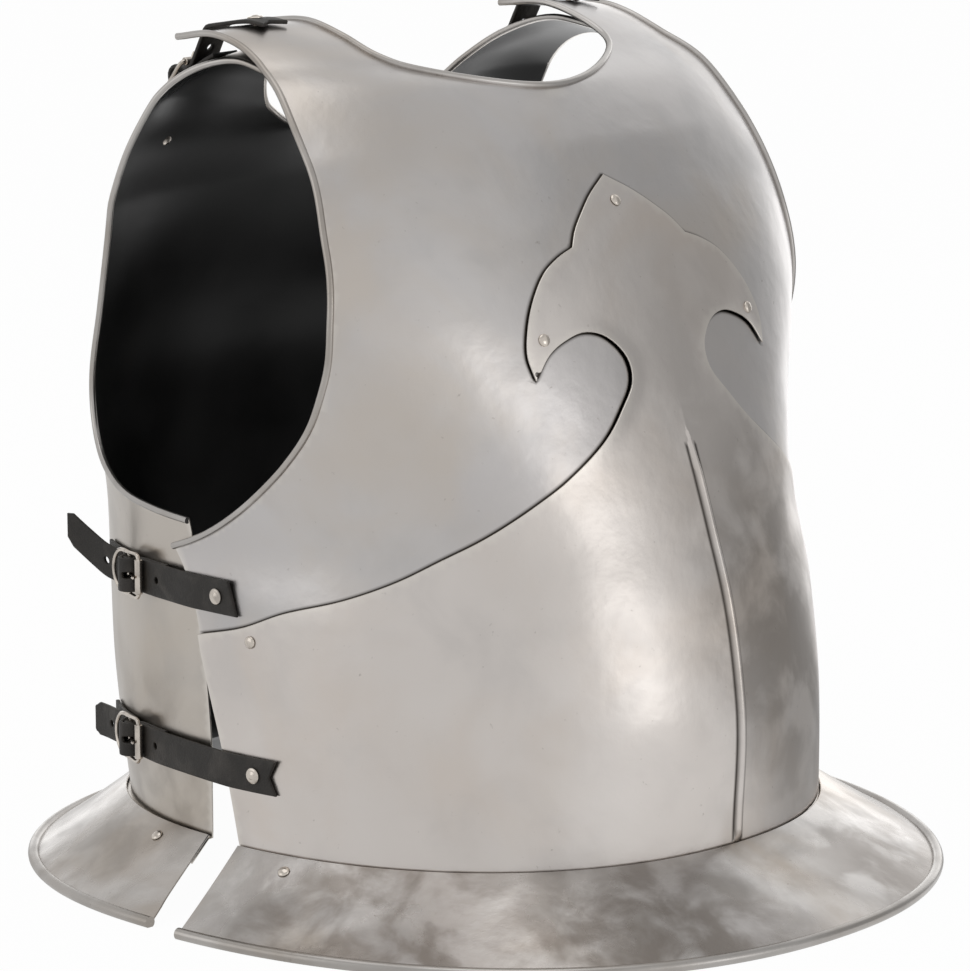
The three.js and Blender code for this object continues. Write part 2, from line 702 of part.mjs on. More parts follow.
const smoothCurve = (points) => new THREE.CatmullRomCurve3(points, false, 'centripetal');
const flangeCount = 2;
const breastLevels = front.levels.filter(([height]) => height >= breastFootShare);
const plackartLevels = front.levels.filter(([height]) => height <= plackartTopShare);
const plackartOuter = restGap + plateThickness;
const breastSheet = addBands(sheetOf(breastLevels.map((level) => bodyRow(front, level)), false),
  front, front.corner - (front.levels.length - breastLevels.length));
const plackartSheet = sheetOf([
  ...flangeRows(front, plackartOuter), ...plackartLevels.map((level) => bodyRow(front, level)),
], false);
const backSheet = addBands(sheetOf([
  ...flangeRows(back, 0), ...back.levels.map((level) => bodyRow(back, level)),
], true), back, back.corner + flangeCount);

const breastBores = [];
const plackartBores = [];
const backBores = [];
const skirtBores = { front: [], rear: [] };

function sideStrap(side, z, start, base, inner) {
  const edge = along(frontSideShares, z / bodyHeight, 1) * frontDepth - edgeMargin;
  const routeLength = routeLead + buckleLength + chapeTail;
  const routeLine = Array.from({ length: routePoints }, (_, k) => (
    flankPoint(back, z, sideRollerBehind - routeLead + (k * routeLength) / (routePoints - 1),
      side)));
  const lift = base + restGap + leather / 2;
  return {
    axis: up.clone().multiplyScalar(side),
    route: smoothCurve(routeLine),
    lay: sideLay,
    inner,
    outer: base,
    seat: flankSeat(z, start + rivetInset, side),
    start: (onChape, layAt) => [
      ...stretchShares.map((k) => (
        flankPoint(front, z, THREE.MathUtils.lerp(start, edge, k), side, lift))),
      layAt(-chapeLead, onChape), layAt(-chapeLead / 2, onChape),
    ],
  };
}

function shoulderStrap(side) {
  const { rows: breastRows } = breastSheet.sides[side];
  const { rows: backRows } = backSheet.sides[side];
  const breastLine = smoothCurve(shoulderLine(breastSheet, side,
    breastRows.slice(-breastStrapRows)));
  const tip = breastLine.getLength();
  const axis = at(-1, 0, side * shoulderTiltShare).normalize();
  const lift = shoulderLay + restGap + leather / 2;
  const onBreast = (k) => (
    lifted(lineSeat(breastLine, tip - k * shoulderStrapLead, axis), lift));
  const routeRows = backRows.slice(-backStrapRows[0], -backStrapRows[1]).reverse();
  return {
    axis,
    route: smoothCurve(shoulderLine(backSheet, side, routeRows)),
    lay: shoulderLay,
    inner: -plateThickness - 2 * shoulderLay,
    outer: 0,
    seat: lineSeat(breastLine, tip - shoulderStrapLead + rivetInset, axis),
    start: () => [
      ...shoulderLeadShares.map(onBreast),
      ...shoulderStepShares.map(([behind, below]) => (
        onBreast(0).add(at(0, leather * behind, -leather * below)))),
    ],
  };
}

for (const [sideName, side] of [['right', -1], ['left', 1]]) {
  const upper = sideStrap(side, upperStrapShare * bodyHeight, upperStrapStart, 0, -plateThickness);
  addStrap(`${sideName}_upper_side`, {
    ...upper, notch: 0, slant: side * slantDepth, tailRise: upperTailRise,
    tailFlare: upperTailFlare,
  });
  const lower = sideStrap(side, lowerStrapShare * bodyHeight, lowerStrapStart, plackartOuter,
    restGap);
  addStrap(`${sideName}_lower_side`, {
    ...lower, notch: notchDepth, slant: 0, tailRise: 0, tailFlare: 1,
  });
  const shoulder = shoulderStrap(side);
  addStrap(`${sideName}_shoulder`, {
    ...shoulder, notch: notchDepth, slant: 0, tailRise: 0, tailFlare: 1,
  });
  breastBores.push(rivetBore(upper.seat), rivetBore(shoulder.seat));
  plackartBores.push(rivetBore(lower.seat));
}

const frontSurface = (height, angle) => bodyPoint(front, height, angle);

function addPlackartRivet(place, height, angle) {
  const seat = seatOf(frontSurface, height, angle);
  addRivet(`plackart_rivet_${place}`, seat, -plateThickness, plackartOuter, plateHeadRadius);
  breastBores.push(rivetBore(seat));
  plackartBores.push(rivetBore(seat));
}

const lobeAngle = THREE.MathUtils.degToRad(lobeRivetShares[1]);
const endAngle = angleOf(front, hoop(front, endRivetHeightShare), -endRivetLead);
addPlackartRivet('top', topRivetShares[0], THREE.MathUtils.degToRad(topRivetShares[1]));
addPlackartRivet('right_lobe', lobeRivetShares[0], -lobeAngle);
addPlackartRivet('left_lobe', lobeRivetShares[0], lobeAngle);
addPlackartRivet('right_end', endRivetHeightShare, -endAngle);
addPlackartRivet('left_end', endRivetHeightShare, endAngle);
plackartBores.push(bore(seatOf(frontSurface, openHoleShares[0],
  THREE.MathUtils.degToRad(openHoleShares[1])), openHoleRadius));

for (const [name, shell] of [['front', front], ['rear', back]]) {
  for (const [sideName, side] of [['right', -1], ['left', 1]]) {
    const [spread, share] = skirtRivetShares;
    const seat = seatOf((u, v) => skirtPoint(shell, u, v), spread, side * share);
    addRivet(`${name}_skirt_rivet_${sideName}`, seat, -2 * (plateThickness + restGap), 0,
      plateHeadRadius);
    skirtBores[name].push(rivetBore(seat));
    (shell === front ? plackartBores : backBores).push(rivetBore(seat));
  }
}

function prism(outline, depth, basis, place) {
  const shape = new THREE.Shape(outline.map(([x, y]) => new THREE.Vector2(x, y)));
  const geometry = new THREE.ExtrudeGeometry(shape, { depth, bevelEnabled: false });
  return solidOf(geometry.applyMatrix4(basis.setPosition(place)));
}

// What is cut away above the plackart's three-lobed head and above its flanks
function plackartCutters() {
  const head = [...headShares, ...headShares.slice(0, -1).reverse().map(([x, z]) => [-x, z])];
  const [outermost] = headShares[0];
  const headOutline = [...head, [-outermost, 1], [outermost, 1]]
    .map(([x, z]) => [x * bodyHalfWidth, z * bodyHeight]);
  const forward = new THREE.Matrix4().makeBasis(at(1, 0, 0), up, at(0, -1, 0));
  const flank = [...flankShares, [flankShares[flankShares.length - 1][0], 1], [flankShares[0][0], 1]]
    .map(([y, z]) => [y * frontDepth + bodyCentreY, z * bodyHeight]);
  const sideways = new THREE.Matrix4().makeBasis(at(0, 1, 0), up, at(1, 0, 0));
  const flankReach = sideFlare + bodyHalfWidth;
  return [
    prism(headOutline, frontDepth + frontFlare, forward, at(0, bodyCentreY, 0)),
    prism(flank, flankReach, sideways, at(flankShare * bodyHalfWidth, 0, 0)),
    prism(flank, flankReach, sideways, at(-flankShare * bodyHalfWidth - flankReach, 0, 0)),
  ];
}

// The keel runs up the plackart's middle and thins out to a point
function keel() {
  const levels = front.levels.map(([height]) => height)
    .filter((height) => height > keelFootShare && height < keelTopShare);
  const heights = [keelFootShare, ...levels, keelTopShare];
  return solidOf(loft(heights.map((height, i) => {
    const seat = seatOf(frontSurface, height, 0);
    const size = i === heights.length - 1 ? keelPointShare : 1;
    const base = lifted(seat, restGap + plateThickness / 2);
    const crest = base.clone()
      .addScaledVector(seat.normal, size * (plateThickness / 2 + keelHeight));
    const half = (size * keelWidth) / 2;
    return [base.clone().add(at(-half, 0, 0)), base.clone().add(at(half, 0, 0)), crest];
  })));
}

add('breastplate', cutAll(rolledPlate(breastSheet, -plateThickness, 0), breastBores), steelLook);
add('plackart', cutAll(solidOf(plate(plackartSheet, restGap, plackartOuter)).add(keel()),
  [...plackartCutters(), ...plackartBores]), steelLook);
add('front_skirt', cutAll(skirt(front), skirtBores.front), steelLook);
add('backplate', cutAll(rolledPlate(backSheet, -plateThickness, 0), backBores), steelLook);
add('rear_skirt', cutAll(skirt(back), skirtBores.rear), steelLook);

export default group;
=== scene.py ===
# %% [markdown]
# # A steel cuirass
# A cuirass is body armour in two steel halves that straps hold together. This one
# has a breastplate, a second plate riveted over its belly (the plackart), a
# backplate, a flared skirt under each half, and six leather straps with buckles.
#
# The engineer's model already fixes every size and place. This script loads it as
# a frame and dresses it: smoother plates, rolled rims, leather with rounded edges,
# round wire buckles and worn finishes. Lengths are in millimetres up to the moment
# a mesh is made, because that is how the maker's sizes are written.

# %% Load the frame
import json
import math

import bpy
import numpy as np
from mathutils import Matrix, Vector
from mathutils.geometry import delaunay_2d_cdt


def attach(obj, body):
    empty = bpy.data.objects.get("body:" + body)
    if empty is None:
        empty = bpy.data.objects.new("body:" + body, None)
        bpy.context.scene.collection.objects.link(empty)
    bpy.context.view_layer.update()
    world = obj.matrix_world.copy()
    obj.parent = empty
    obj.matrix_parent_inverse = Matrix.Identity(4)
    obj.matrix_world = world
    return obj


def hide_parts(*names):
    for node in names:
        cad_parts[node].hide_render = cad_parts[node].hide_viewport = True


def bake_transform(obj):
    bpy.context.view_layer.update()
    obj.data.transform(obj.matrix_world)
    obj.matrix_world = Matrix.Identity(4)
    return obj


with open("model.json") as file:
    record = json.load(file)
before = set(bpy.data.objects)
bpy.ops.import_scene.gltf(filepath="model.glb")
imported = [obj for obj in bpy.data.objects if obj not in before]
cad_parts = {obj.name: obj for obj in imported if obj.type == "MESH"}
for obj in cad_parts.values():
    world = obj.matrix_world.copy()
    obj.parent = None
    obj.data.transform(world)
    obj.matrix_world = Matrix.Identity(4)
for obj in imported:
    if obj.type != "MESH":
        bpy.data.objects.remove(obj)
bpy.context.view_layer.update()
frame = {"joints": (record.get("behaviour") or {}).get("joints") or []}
joints = {joint["name"]: joint for joint in frame["joints"]}
MM = 0.001

# %% [markdown]
# ## Camera
# The photograph was taken with a long lens from the wearer's right front, a little
# above the shoulders. Long lenses flatten a subject, so the camera stands well back
# and the lens is long. It comes first, so that every later choice is judged in the
# right view.

# %% Camera
CAMERA_TURN = math.radians(46.49)
CAMERA_PITCH = math.radians(10.80)
CAMERA_PAN = math.radians(0.038)
CAMERA_AWAY, CAMERA_HEIGHT, CAMERA_SHIFT_Y = 2.4169, 0.6815, 0.012
SENSOR_WIDTH, LENS = 36, 153.2


def add_object(name, data):
    """A new object in the scene."""
    made = bpy.data.objects.new(name, data)
    bpy.context.scene.collection.objects.link(made)
    return made


def aim(thing, way):
    """Turns a camera or a lamp to look along a direction."""
    thing.rotation_euler = way.to_track_quat("-Z", "Y").to_euler()


camera = add_object("camera", bpy.data.cameras.new("camera"))
bpy.context.scene.camera = camera
camera.data.sensor_width, camera.data.lens = SENSOR_WIDTH, LENS
camera.location = (-math.sin(CAMERA_TURN) * CAMERA_AWAY,
                   -math.cos(CAMERA_TURN) * CAMERA_AWAY + CAMERA_SHIFT_Y, CAMERA_HEIGHT)
yaw, level = CAMERA_TURN + CAMERA_PAN, math.cos(CAMERA_PITCH)
aim(camera, Vector((math.sin(yaw) * level, math.cos(yaw) * level, -math.sin(CAMERA_PITCH))))
print("camera at", [round(c, 3) for c in camera.location])

# %% [markdown]
# ## Light, floor and background
# Polished steel shows what stands round it, so its look is made by the room as much
# as by the material. Large square lamps light the leather and the edges softly. The
# background is plain white to the camera. What the metal sees in it is shaded like
# the studio of the photograph: a bright screen in front of the plackart and another
# behind the skirt, a dim side on the wearer's left, and less light from high up.
# Light Path tells these rays apart, so none of this floods the object with light.

# %% Lamps
TARGET = Vector((0, 0, 0.25))
LAMPS = {
    "lamp_front": ((0.4, -2.6, 0.5), 1.0, 3),
    "lamp_top": ((-0.3, 0.2, 2.4), 2.0, 9),
    "lamp_left": ((-2.6, 1.2, 1.1), 2.0, 6),
    "lamp_right": ((2.2, 0.6, 1.2), 2.0, 3),
}
for name, (place, size, power) in LAMPS.items():
    data = bpy.data.lights.new(name, "AREA")
    data.shape, data.size, data.energy = "SQUARE", size, power
    lamp = add_object(name, data)
    lamp.location = place
    aim(lamp, TARGET - Vector(place))
bpy.context.scene.view_settings.view_transform = "Standard"
print(len(LAMPS), "soft lamps")

# %% Helpers for nodes


def feed(tree, socket, value):
    """Links another socket to an input, or sets the input to a value."""
    if isinstance(value, bpy.types.NodeSocket):
        tree.links.new(value, socket)
    else:
        socket.default_value = value


def add_node(tree, kind, inputs, **settings):
    """A node with its settings, and its inputs fed by name or number."""
    node = tree.nodes.new(kind)
    for key, value in settings.items():
        setattr(node, key, value)
    for key, value in inputs.items():
        feed(tree, node.inputs[key], value)
    return node


def calculate(tree, kind, *values):
    """A math node on sockets or numbers."""
    return add_node(tree, "ShaderNodeMath", dict(enumerate(values)), operation=kind).outputs[0]


def choose(tree, share, first, second):
    """First where the share is 0 and second where it is 1."""
    kept = calculate(tree, "MULTIPLY", calculate(tree, "SUBTRACT", 1.0, share), first)
    return calculate(tree, "ADD", kept, calculate(tree, "MULTIPLY", share, second))


def soft_range(tree, value, start, end, first, last):
    """A soft step of a value: first before the start, last after the end."""
    inputs = {"Value": value, "From Min": start, "From Max": end, "To Min": first,
              "To Max": last}
    return add_node(tree, "ShaderNodeMapRange", inputs,
                    interpolation_type="SMOOTHSTEP").outputs["Result"]


def on_vectors(tree, kind, *values):
    """A vector math node on sockets or triples."""
    return add_node(tree, "ShaderNodeVectorMath", dict(enumerate(values)), operation=kind)


def coordinates(tree, kind):
    """Where a place is: Object in a material, Generated (the direction) in the world."""
    return tree.nodes.new("ShaderNodeTexCoord").outputs[kind]


def rays(tree):
    """Camera rays, and rays off gloss or through glass."""
    path = tree.nodes.new("ShaderNodeLightPath").outputs
    return path["Is Camera Ray"], calculate(tree, "MAXIMUM", path["Is Glossy Ray"],
                                            path["Is Transmission Ray"])


print("helpers ready")

# %% White room
# A screen is a direction, its light, and how near to it its soft edge starts and ends.
SCREENS = [((0.10, -0.993, 0.052), 0.10, 0.76, 0.97), ((0.80, 0.60, 0.05), 0.95, 0.78, 0.95)]
SCREEN_TOP, HIGH_EDGE, HIGH_SHADE = (0.12, 0.34), (0.5, 0.9), 0.78
SHADED_SIDE, SHADE_EDGE, SHADE = (0.915, -0.37, 0.16), (0.78, 0.92), 0.55
ROOM_LIGHT, MIRRORED = 0.55, 0.74


def mirrored_light(tree, direction):
    """Brightness that the metal sees in one direction."""
    def near(side):
        return on_vectors(tree, "DOT_PRODUCT", direction, side).outputs["Value"]

    up = near((0, 0, 1))
    screen = 0.0
    for side, gain, start, end in SCREENS:
        part = soft_range(tree, near(side), start, end, 0.0, gain)
        screen = calculate(tree, "ADD", part, screen)
    screen = calculate(tree, "MULTIPLY", screen, soft_range(tree, up, *SCREEN_TOP, 1.0, 0.0))
    shade = soft_range(tree, near(SHADED_SIDE), *SHADE_EDGE, 1.0, SHADE)
    high = soft_range(tree, up, *HIGH_EDGE, 1.0, HIGH_SHADE)
    return calculate(tree, "MULTIPLY", calculate(tree, "ADD", screen, MIRRORED),
                     calculate(tree, "MULTIPLY", shade, high))


world = bpy.data.worlds.new("white_room")
world.use_nodes = True
bpy.context.scene.world = world
room = world.node_tree
seen, mirror = rays(room)
mirrored = mirrored_light(room, coordinates(room, "Generated"))
strength = choose(room, seen, choose(room, mirror, ROOM_LIGHT, mirrored), 1.0)
for label, value in (("Color", (1, 1, 1, 1)), ("Strength", strength)):
    feed(room, room.nodes["Background"].inputs[label], value)
print("white room, shaded towards", SHADED_SIDE)

# %% Floor
FLOOR_HALF, FLOOR_GLOW, FLOOR_WHITE, FLOOR_ROUGHNESS = 6.0, 0.97, 0.92, 0.9
floor_mesh = bpy.data.meshes.new("floor")
floor_mesh.from_pydata([(x * FLOOR_HALF, y * FLOOR_HALF, 0)
                        for x, y in ((-1, -1), (1, -1), (1, 1), (-1, 1))], [], [(0, 1, 2, 3)])
floor = add_object("floor", floor_mesh)
paper = bpy.data.materials.new("floor_paper")
paper.use_nodes = True
tree = paper.node_tree
matt = tree.nodes["Principled BSDF"]
matt.inputs["Base Color"].default_value = (FLOOR_WHITE, FLOOR_WHITE, FLOOR_WHITE, 1)
matt.inputs["Roughness"].default_value = FLOOR_ROUGHNESS
outwards = on_vectors(tree, "NORMALIZE", coordinates(tree, "Object")).outputs["Vector"]
shaded = mirrored_light(tree, outwards)
seen, mirror = rays(tree)
glow = add_node(tree, "ShaderNodeEmission", {"Strength": choose(tree, seen, shaded, 1.0)})
share = calculate(tree, "ADD", mirror, calculate(tree, "MULTIPLY", seen, FLOOR_GLOW))
both = add_node(tree, "ShaderNodeMixShader", {0: share, 1: matt.outputs[0], 2: glow.outputs[0]})
feed(tree, tree.nodes["Material Output"].inputs["Surface"], both.outputs[0])
floor_mesh.materials.append(paper)
print("floor", 2 * FLOOR_HALF, "m square")

# %% [markdown]
# ## Shared effects
# Stains, scratches, patches and hide grain appear in more than one finish. Each is a
# node group with named inputs, built once. All of them read the object's own
# coordinates, so a pattern keeps its size and stays in place when a piece moves.

# %% Node groups
STAIN_DETAIL, SCRATCH_DETAIL = 6, 8
SCRATCH_STRETCHES = ((1, 1, 0.05), (0.07, 0.07, 1))
PATCH_CORE, GRAIN_EDGE = 0.35, 0.25


def effect(name, inputs, output):
    """An empty shader group, its inputs as sockets to read, and its output."""
    group = bpy.data.node_groups.new(name, "ShaderNodeTree")
    for label, start in inputs.items():
        socket = group.interface.new_socket(label, in_out="INPUT", socket_type="NodeSocketFloat")
        socket.default_value = start
    group.interface.new_socket(output, in_out="OUTPUT", socket_type="NodeSocketFloat")
    return (group, group.nodes.new("NodeGroupInput").outputs,
            group.nodes.new("NodeGroupOutput").inputs[0])


def stretched(group, scale=(1, 1, 1)):
    """Object coordinates, stretched by a scale for each direction."""
    inputs = {"Vector": coordinates(group, "Object"), "Scale": scale}
    return add_node(group, "ShaderNodeMapping", inputs).outputs["Vector"]


def clouds(group, vector, scale, detail, bend=0.0):
    """A noise texture on a vector."""
    inputs = {"Vector": vector, "Scale": scale, "Detail": detail, "Distortion": bend}
    return add_node(group, "ShaderNodeTexNoise", inputs).outputs["Fac"]


stain, ask, mask = effect("stain", {"Scale": 10, "Low": 0.4, "High": 0.6, "Bend": 1}, "Mask")
noise = clouds(stain, stretched(stain), ask["Scale"], STAIN_DETAIL, ask["Bend"])
feed(stain, mask, soft_range(stain, noise, ask["Low"], ask["High"], 0.0, 1.0))

scratches, ask, height = effect("scratches", {"Scale": 60}, "Height")
lines = [clouds(scratches, stretched(scratches, scale), ask["Scale"], SCRATCH_DETAIL)
         for scale in SCRATCH_STRETCHES]
feed(scratches, height, calculate(scratches, "ADD", *lines))

patch, ask, mask = effect("patch", {"X": 0, "Y": 0, "Z": 0, "Reach": 0.1}, "Mask")
centre = add_node(patch, "ShaderNodeCombineXYZ", {axis: ask[axis] for axis in "XYZ"})
apart = on_vectors(patch, "DISTANCE", stretched(patch), centre.outputs[0]).outputs["Value"]
share = calculate(patch, "DIVIDE", apart, ask["Reach"])
feed(patch, mask, soft_range(patch, share, PATCH_CORE, 1.0, 1.0, 0.0))

grain, ask, height = effect("hide_grain", {"Scale": 900}, "Height")
cells = add_node(grain, "ShaderNodeTexVoronoi",
                 {"Vector": stretched(grain), "Scale": ask["Scale"]}, feature="DISTANCE_TO_EDGE")
fold = {"Value": cells.outputs["Distance"], "From Max": GRAIN_EDGE}
feed(grain, height, add_node(grain, "ShaderNodeMapRange", fold).outputs["Result"])
print("effects:", stain.name, scratches.name, patch.name, grain.name)

# %% [markdown]
# ## Steel
# The plates are bare mild steel, polished and then left to tarnish. A metal has no
# paint colour of its own, so the Base Color is what it does to a reflection: grey,
# with faint clouds gone blue or brown. Wide stains gather in patches, beside the
# keel and on the skirts. Two marks come with the meshes as attributes. One is
# painted shadow, dark on the breastplate along the plackart's edge and in the creases
# beside the keel; "worn" is where an edge is rubbed bright.

# %% Helpers for finishes
MIX_FACTOR, MIX_BELOW, MIX_ABOVE, MIX_COLOUR = 0, 6, 7, 2


def finish_material(name, metallic, roughness):
    """A new node material and its tree."""
    material = bpy.data.materials.new(name)
    material.use_nodes = True
    inputs = material.node_tree.nodes["Principled BSDF"].inputs
    inputs["Metallic"].default_value = metallic
    inputs["Roughness"].default_value = roughness
    return material, material.node_tree


def placed(tree, group, **values):
    """A shared effect in a material, with its own values."""
    return add_node(tree, "ShaderNodeGroup", values, node_tree=group).outputs[0]


def tint(tree, below, above, mask, amount=1.0):
    """Colour above over colour below where the mask is 1."""
    if isinstance(below, tuple):
        below = (*below, 1)
    if amount < 1:
        mask = calculate(tree, "MULTIPLY", mask, amount)
    inputs = {MIX_FACTOR: mask, MIX_BELOW: below, MIX_ABOVE: (*above, 1)}
    return add_node(tree, "ShaderNodeMix", inputs, data_type="RGBA").outputs[MIX_COLOUR]


def dress(tree, colour, mask, roughness, bumps):
    """Feeds a colour, a roughness that follows a mask, and chained bumps.

    A bump is a height socket, a strength and a depth in metres.
    """
    spread = {"Value": mask, "To Min": roughness[0], "To Max": roughness[1]}
    layer = {}
    for height, amount, depth in bumps:
        layer.update(Height=height, Strength=amount, Distance=depth)
        layer["Normal"] = add_node(tree, "ShaderNodeBump", layer).outputs["Normal"]
    for label, value in (
        ("Base Color", colour), ("Normal", layer["Normal"]),
        ("Roughness", add_node(tree, "ShaderNodeMapRange", spread).outputs["Result"]),
    ):
        feed(tree, tree.nodes["Principled BSDF"].inputs[label], value)


print("helpers ready")

# %% Steel recipe
# The second colour is painted shadow, near black, for the line along the plackart's edge and the
# creases beside the keel.
STAIN_COLOUR, PAINTED_SHADE_COLOUR = (0.21, 0.18, 0.155), (0.03, 0.025, 0.02)
WORN_COLOUR, WORN_SHARE = (0.8, 0.76, 0.7), 0.55
SMALL_SHARE, MOTTLED_SHARE = 0.5, 0.75
DENTS, SCRATCHES = (0.5, 0.0012), (0.1, 0.0002)


def mark(tree, name):
    """A mark that the mesh carries, from 0 to 1."""
    return add_node(tree, "ShaderNodeAttribute", {}, attribute_name=name).outputs["Fac"]


def steel_material(name, dark, middle, pale, warm, roughness, clouded, patches):
    """Tarnished steel: four colours, a range of roughness and where stains gather."""
    material, tree = finish_material(name, 1, roughness[0])
    broad = placed(tree, stain, Scale=5, Low=0.3, High=0.7, Bend=0.3)
    small = placed(tree, stain, Scale=19, Low=0.4, High=0.75, Bend=0.4)
    brown = placed(tree, stain, Scale=9, Low=0.45, High=0.75, Bend=0.5)
    speckle = placed(tree, stain, Scale=260, Low=0.68, High=0.8, Bend=0.3)
    mottle = placed(tree, stain, Scale=26, Low=0.38, High=0.6, Bend=0.35)
    colour = tint(tree, middle, pale, broad, clouded)
    colour = tint(tree, colour, dark, small, clouded * SMALL_SHARE)
    colour = tint(tree, colour, warm, brown, clouded)
    colour = tint(tree, colour, STAIN_COLOUR, speckle, clouded * SMALL_SHARE)
    stained = 0.0
    for x, y, z, reach, amount in patches:
        spot = placed(tree, patch, X=x, Y=y, Z=z, Reach=reach)
        stained = calculate(tree, "MAXIMUM", stained, calculate(tree, "MULTIPLY", spot, amount))
    if patches:
        uneven = calculate(tree, "MULTIPLY", mottle, MOTTLED_SHARE)
        uneven = calculate(tree, "ADD", uneven, 1 - MOTTLED_SHARE)
        colour = tint(tree, colour, STAIN_COLOUR, calculate(tree, "MULTIPLY", stained, uneven))
    colour = tint(tree, colour, WORN_COLOUR, mark(tree, "worn"), WORN_SHARE)
    # Painted shadow: near black where the mesh's mark of painted shade is 1.
    colour = tint(tree, colour, PAINTED_SHADE_COLOUR, mark(tree, "painted_shade"))
    dents = placed(tree, stain, Scale=13, Low=0.2, High=0.8, Bend=0.1)
    lines = placed(tree, scratches, Scale=120)
    dress(tree, colour, small, roughness, [(dents, *DENTS), (lines, *SCRATCHES)])
    return material


print("steel's stains are", STAIN_COLOUR)

# %% Five steels
# A patch is its place and reach in metres, and how stained it is.
CHEST_PATCHES = [(0.0, -0.16, 0.44, 0.11, 0.25), (-0.1, -0.15, 0.41, 0.08, 0.15)]
BELLY_PATCHES = [(0.1, -0.19, 0.17, 0.17, 0.6), (0.05, -0.2, 0.33, 0.14, 0.2)]
BACK_PATCHES = [(-0.19, 0.1, 0.06, 0.09, 0.4), (0.0, 0.2, 0.2, 0.15, 0.4)]
SKIRT_PATCHES = [
    (0.14, -0.26, 0.02, 0.16, 0.75), (-0.12, -0.25, 0.02, 0.15, 0.8), (0.1, 0.24, 0.02, 0.2, 0.6),
    (-0.22, -0.1, 0.03, 0.13, 0.8), (-0.2, 0.16, 0.02, 0.16, 0.4),
]
STEEL = steel_material(
    "tarnished_steel", (0.46, 0.455, 0.455), (0.565, 0.54, 0.53), (0.64, 0.62, 0.61),
    (0.60, 0.545, 0.49), (0.28, 0.37), 0.85, CHEST_PATCHES)
BACK_STEEL = steel_material(
    "brown_back_steel", (0.44, 0.42, 0.40), (0.58, 0.535, 0.485), (0.66, 0.62, 0.57),
    (0.54, 0.48, 0.41), (0.28, 0.36), 0.9, BACK_PATCHES)
PLACKART_STEEL = steel_material(
    "bright_plackart_steel", (0.55, 0.52, 0.50), (0.68, 0.635, 0.60), (0.74, 0.70, 0.67),
    (0.66, 0.59, 0.53), (0.28, 0.36), 0.9, BELLY_PATCHES)
SKIRT_STEEL = steel_material(
    "stained_skirt_steel", (0.22, 0.21, 0.205), (0.58, 0.555, 0.54), (0.80, 0.775, 0.75),
    (0.48, 0.42, 0.36), (0.24, 0.36), 1, SKIRT_PATCHES)
RIM = steel_material(
    "rubbed_rim_steel", (0.30, 0.28, 0.26), (0.46, 0.44, 0.42), (0.60, 0.575, 0.55),
    (0.36, 0.32, 0.28), (0.28, 0.42), 0.9, [])
print("steels:", [made.name for made in (STEEL, BACK_STEEL, PLACKART_STEEL, SKIRT_STEEL, RIM)])

# %% [markdown]
# ## Blackened inside, leather and nickel
# The inside of each plate is blackened and oiled against rust, so it is dark and a
# little glossy. The straps are dyed hide, with a fine grain and paler rubbed
# patches. Buckles and rivets are nickel plated: brighter and smoother than the steel.

# %% Other finishes
BLACK, tree = finish_material("blackened_inside", 0, 0.3)
oily = placed(tree, stain, Scale=9, Low=0.3, High=0.8, Bend=0.2)
lines = placed(tree, scratches, Scale=70)
dress(tree, tint(tree, (0.004, 0.004, 0.0042), (0.007, 0.0068, 0.0066), oily), oily,
      (0.26, 0.46), [(lines, 0.15, 0.0003)])

LEATHER, tree = finish_material("dyed_hide", 0, 0.5)
pores = placed(tree, grain, Scale=800)
soft = placed(tree, stain, Scale=55, Low=0.45, High=0.75, Bend=0.8)
creases = placed(tree, stain, Scale=160, Low=0.3, High=0.7, Bend=1.5)
colour = tint(tree, (0.010, 0.008, 0.006), (0.018, 0.0145, 0.011), pores)
dress(tree, tint(tree, colour, (0.045, 0.035, 0.026), soft, 0.45), soft, (0.58, 0.46),
      [(pores, 0.35, 0.0002), (creases, 0.3, 0.0004)])

NICKEL, tree = finish_material("bright_nickel", 1, 0.2)
dull = placed(tree, stain, Scale=90, Low=0.4, High=0.75, Bend=1.0)
lines = placed(tree, scratches, Scale=300)
dress(tree, tint(tree, (0.68, 0.62, 0.555), (0.45, 0.41, 0.37), dull), dull, (0.16, 0.32),
      [(lines, 0.1, 0.0001)])
print("finishes:", BLACK.name, LEATHER.name, NICKEL.name)

# %% [markdown]
# ## The maker's sizes
# These are the sizes and tables of the engineer's model, in millimetres and in
# shares of the body's main sizes. The dressed plates are worked out from the same
# numbers, with many more points, so they lie exactly on the frame.

# %% Sizes
HEIGHT, HALF_WIDTH, FRONT_DEPTH, BACK_DEPTH, BACK_TUCK = 500, 200, 219, 182, 4.4
PLATE, REST = 1.2, 0.3
EDGE_ROLL, RIM_ROLL, RIM_FLAT, ROLL_SEAT = 2, 3.4, 0.6, 0.96
KEEL_WIDTH, KEEL_HEIGHT, KEEL_FOOT, KEEL_TOP = 5.6, 2.4, 0.086, 0.548
SKIRT_TOP, SIDE_FLARE, FRONT_FLARE, REAR_FLARE = 40, 57, 75, 48
STAND_OFF, FLANGE, FLANGE_DROP, SKIRT_BULGE = 3, 13, 1.3, 0.12
FRONT_RIM_END, REAR_RIM_END = -0.1416, -0.022
CENTRE_Y = (FRONT_DEPTH + FRONT_FLARE - BACK_DEPTH - REAR_FLARE) / 2
BREAST_FOOT = 0.24

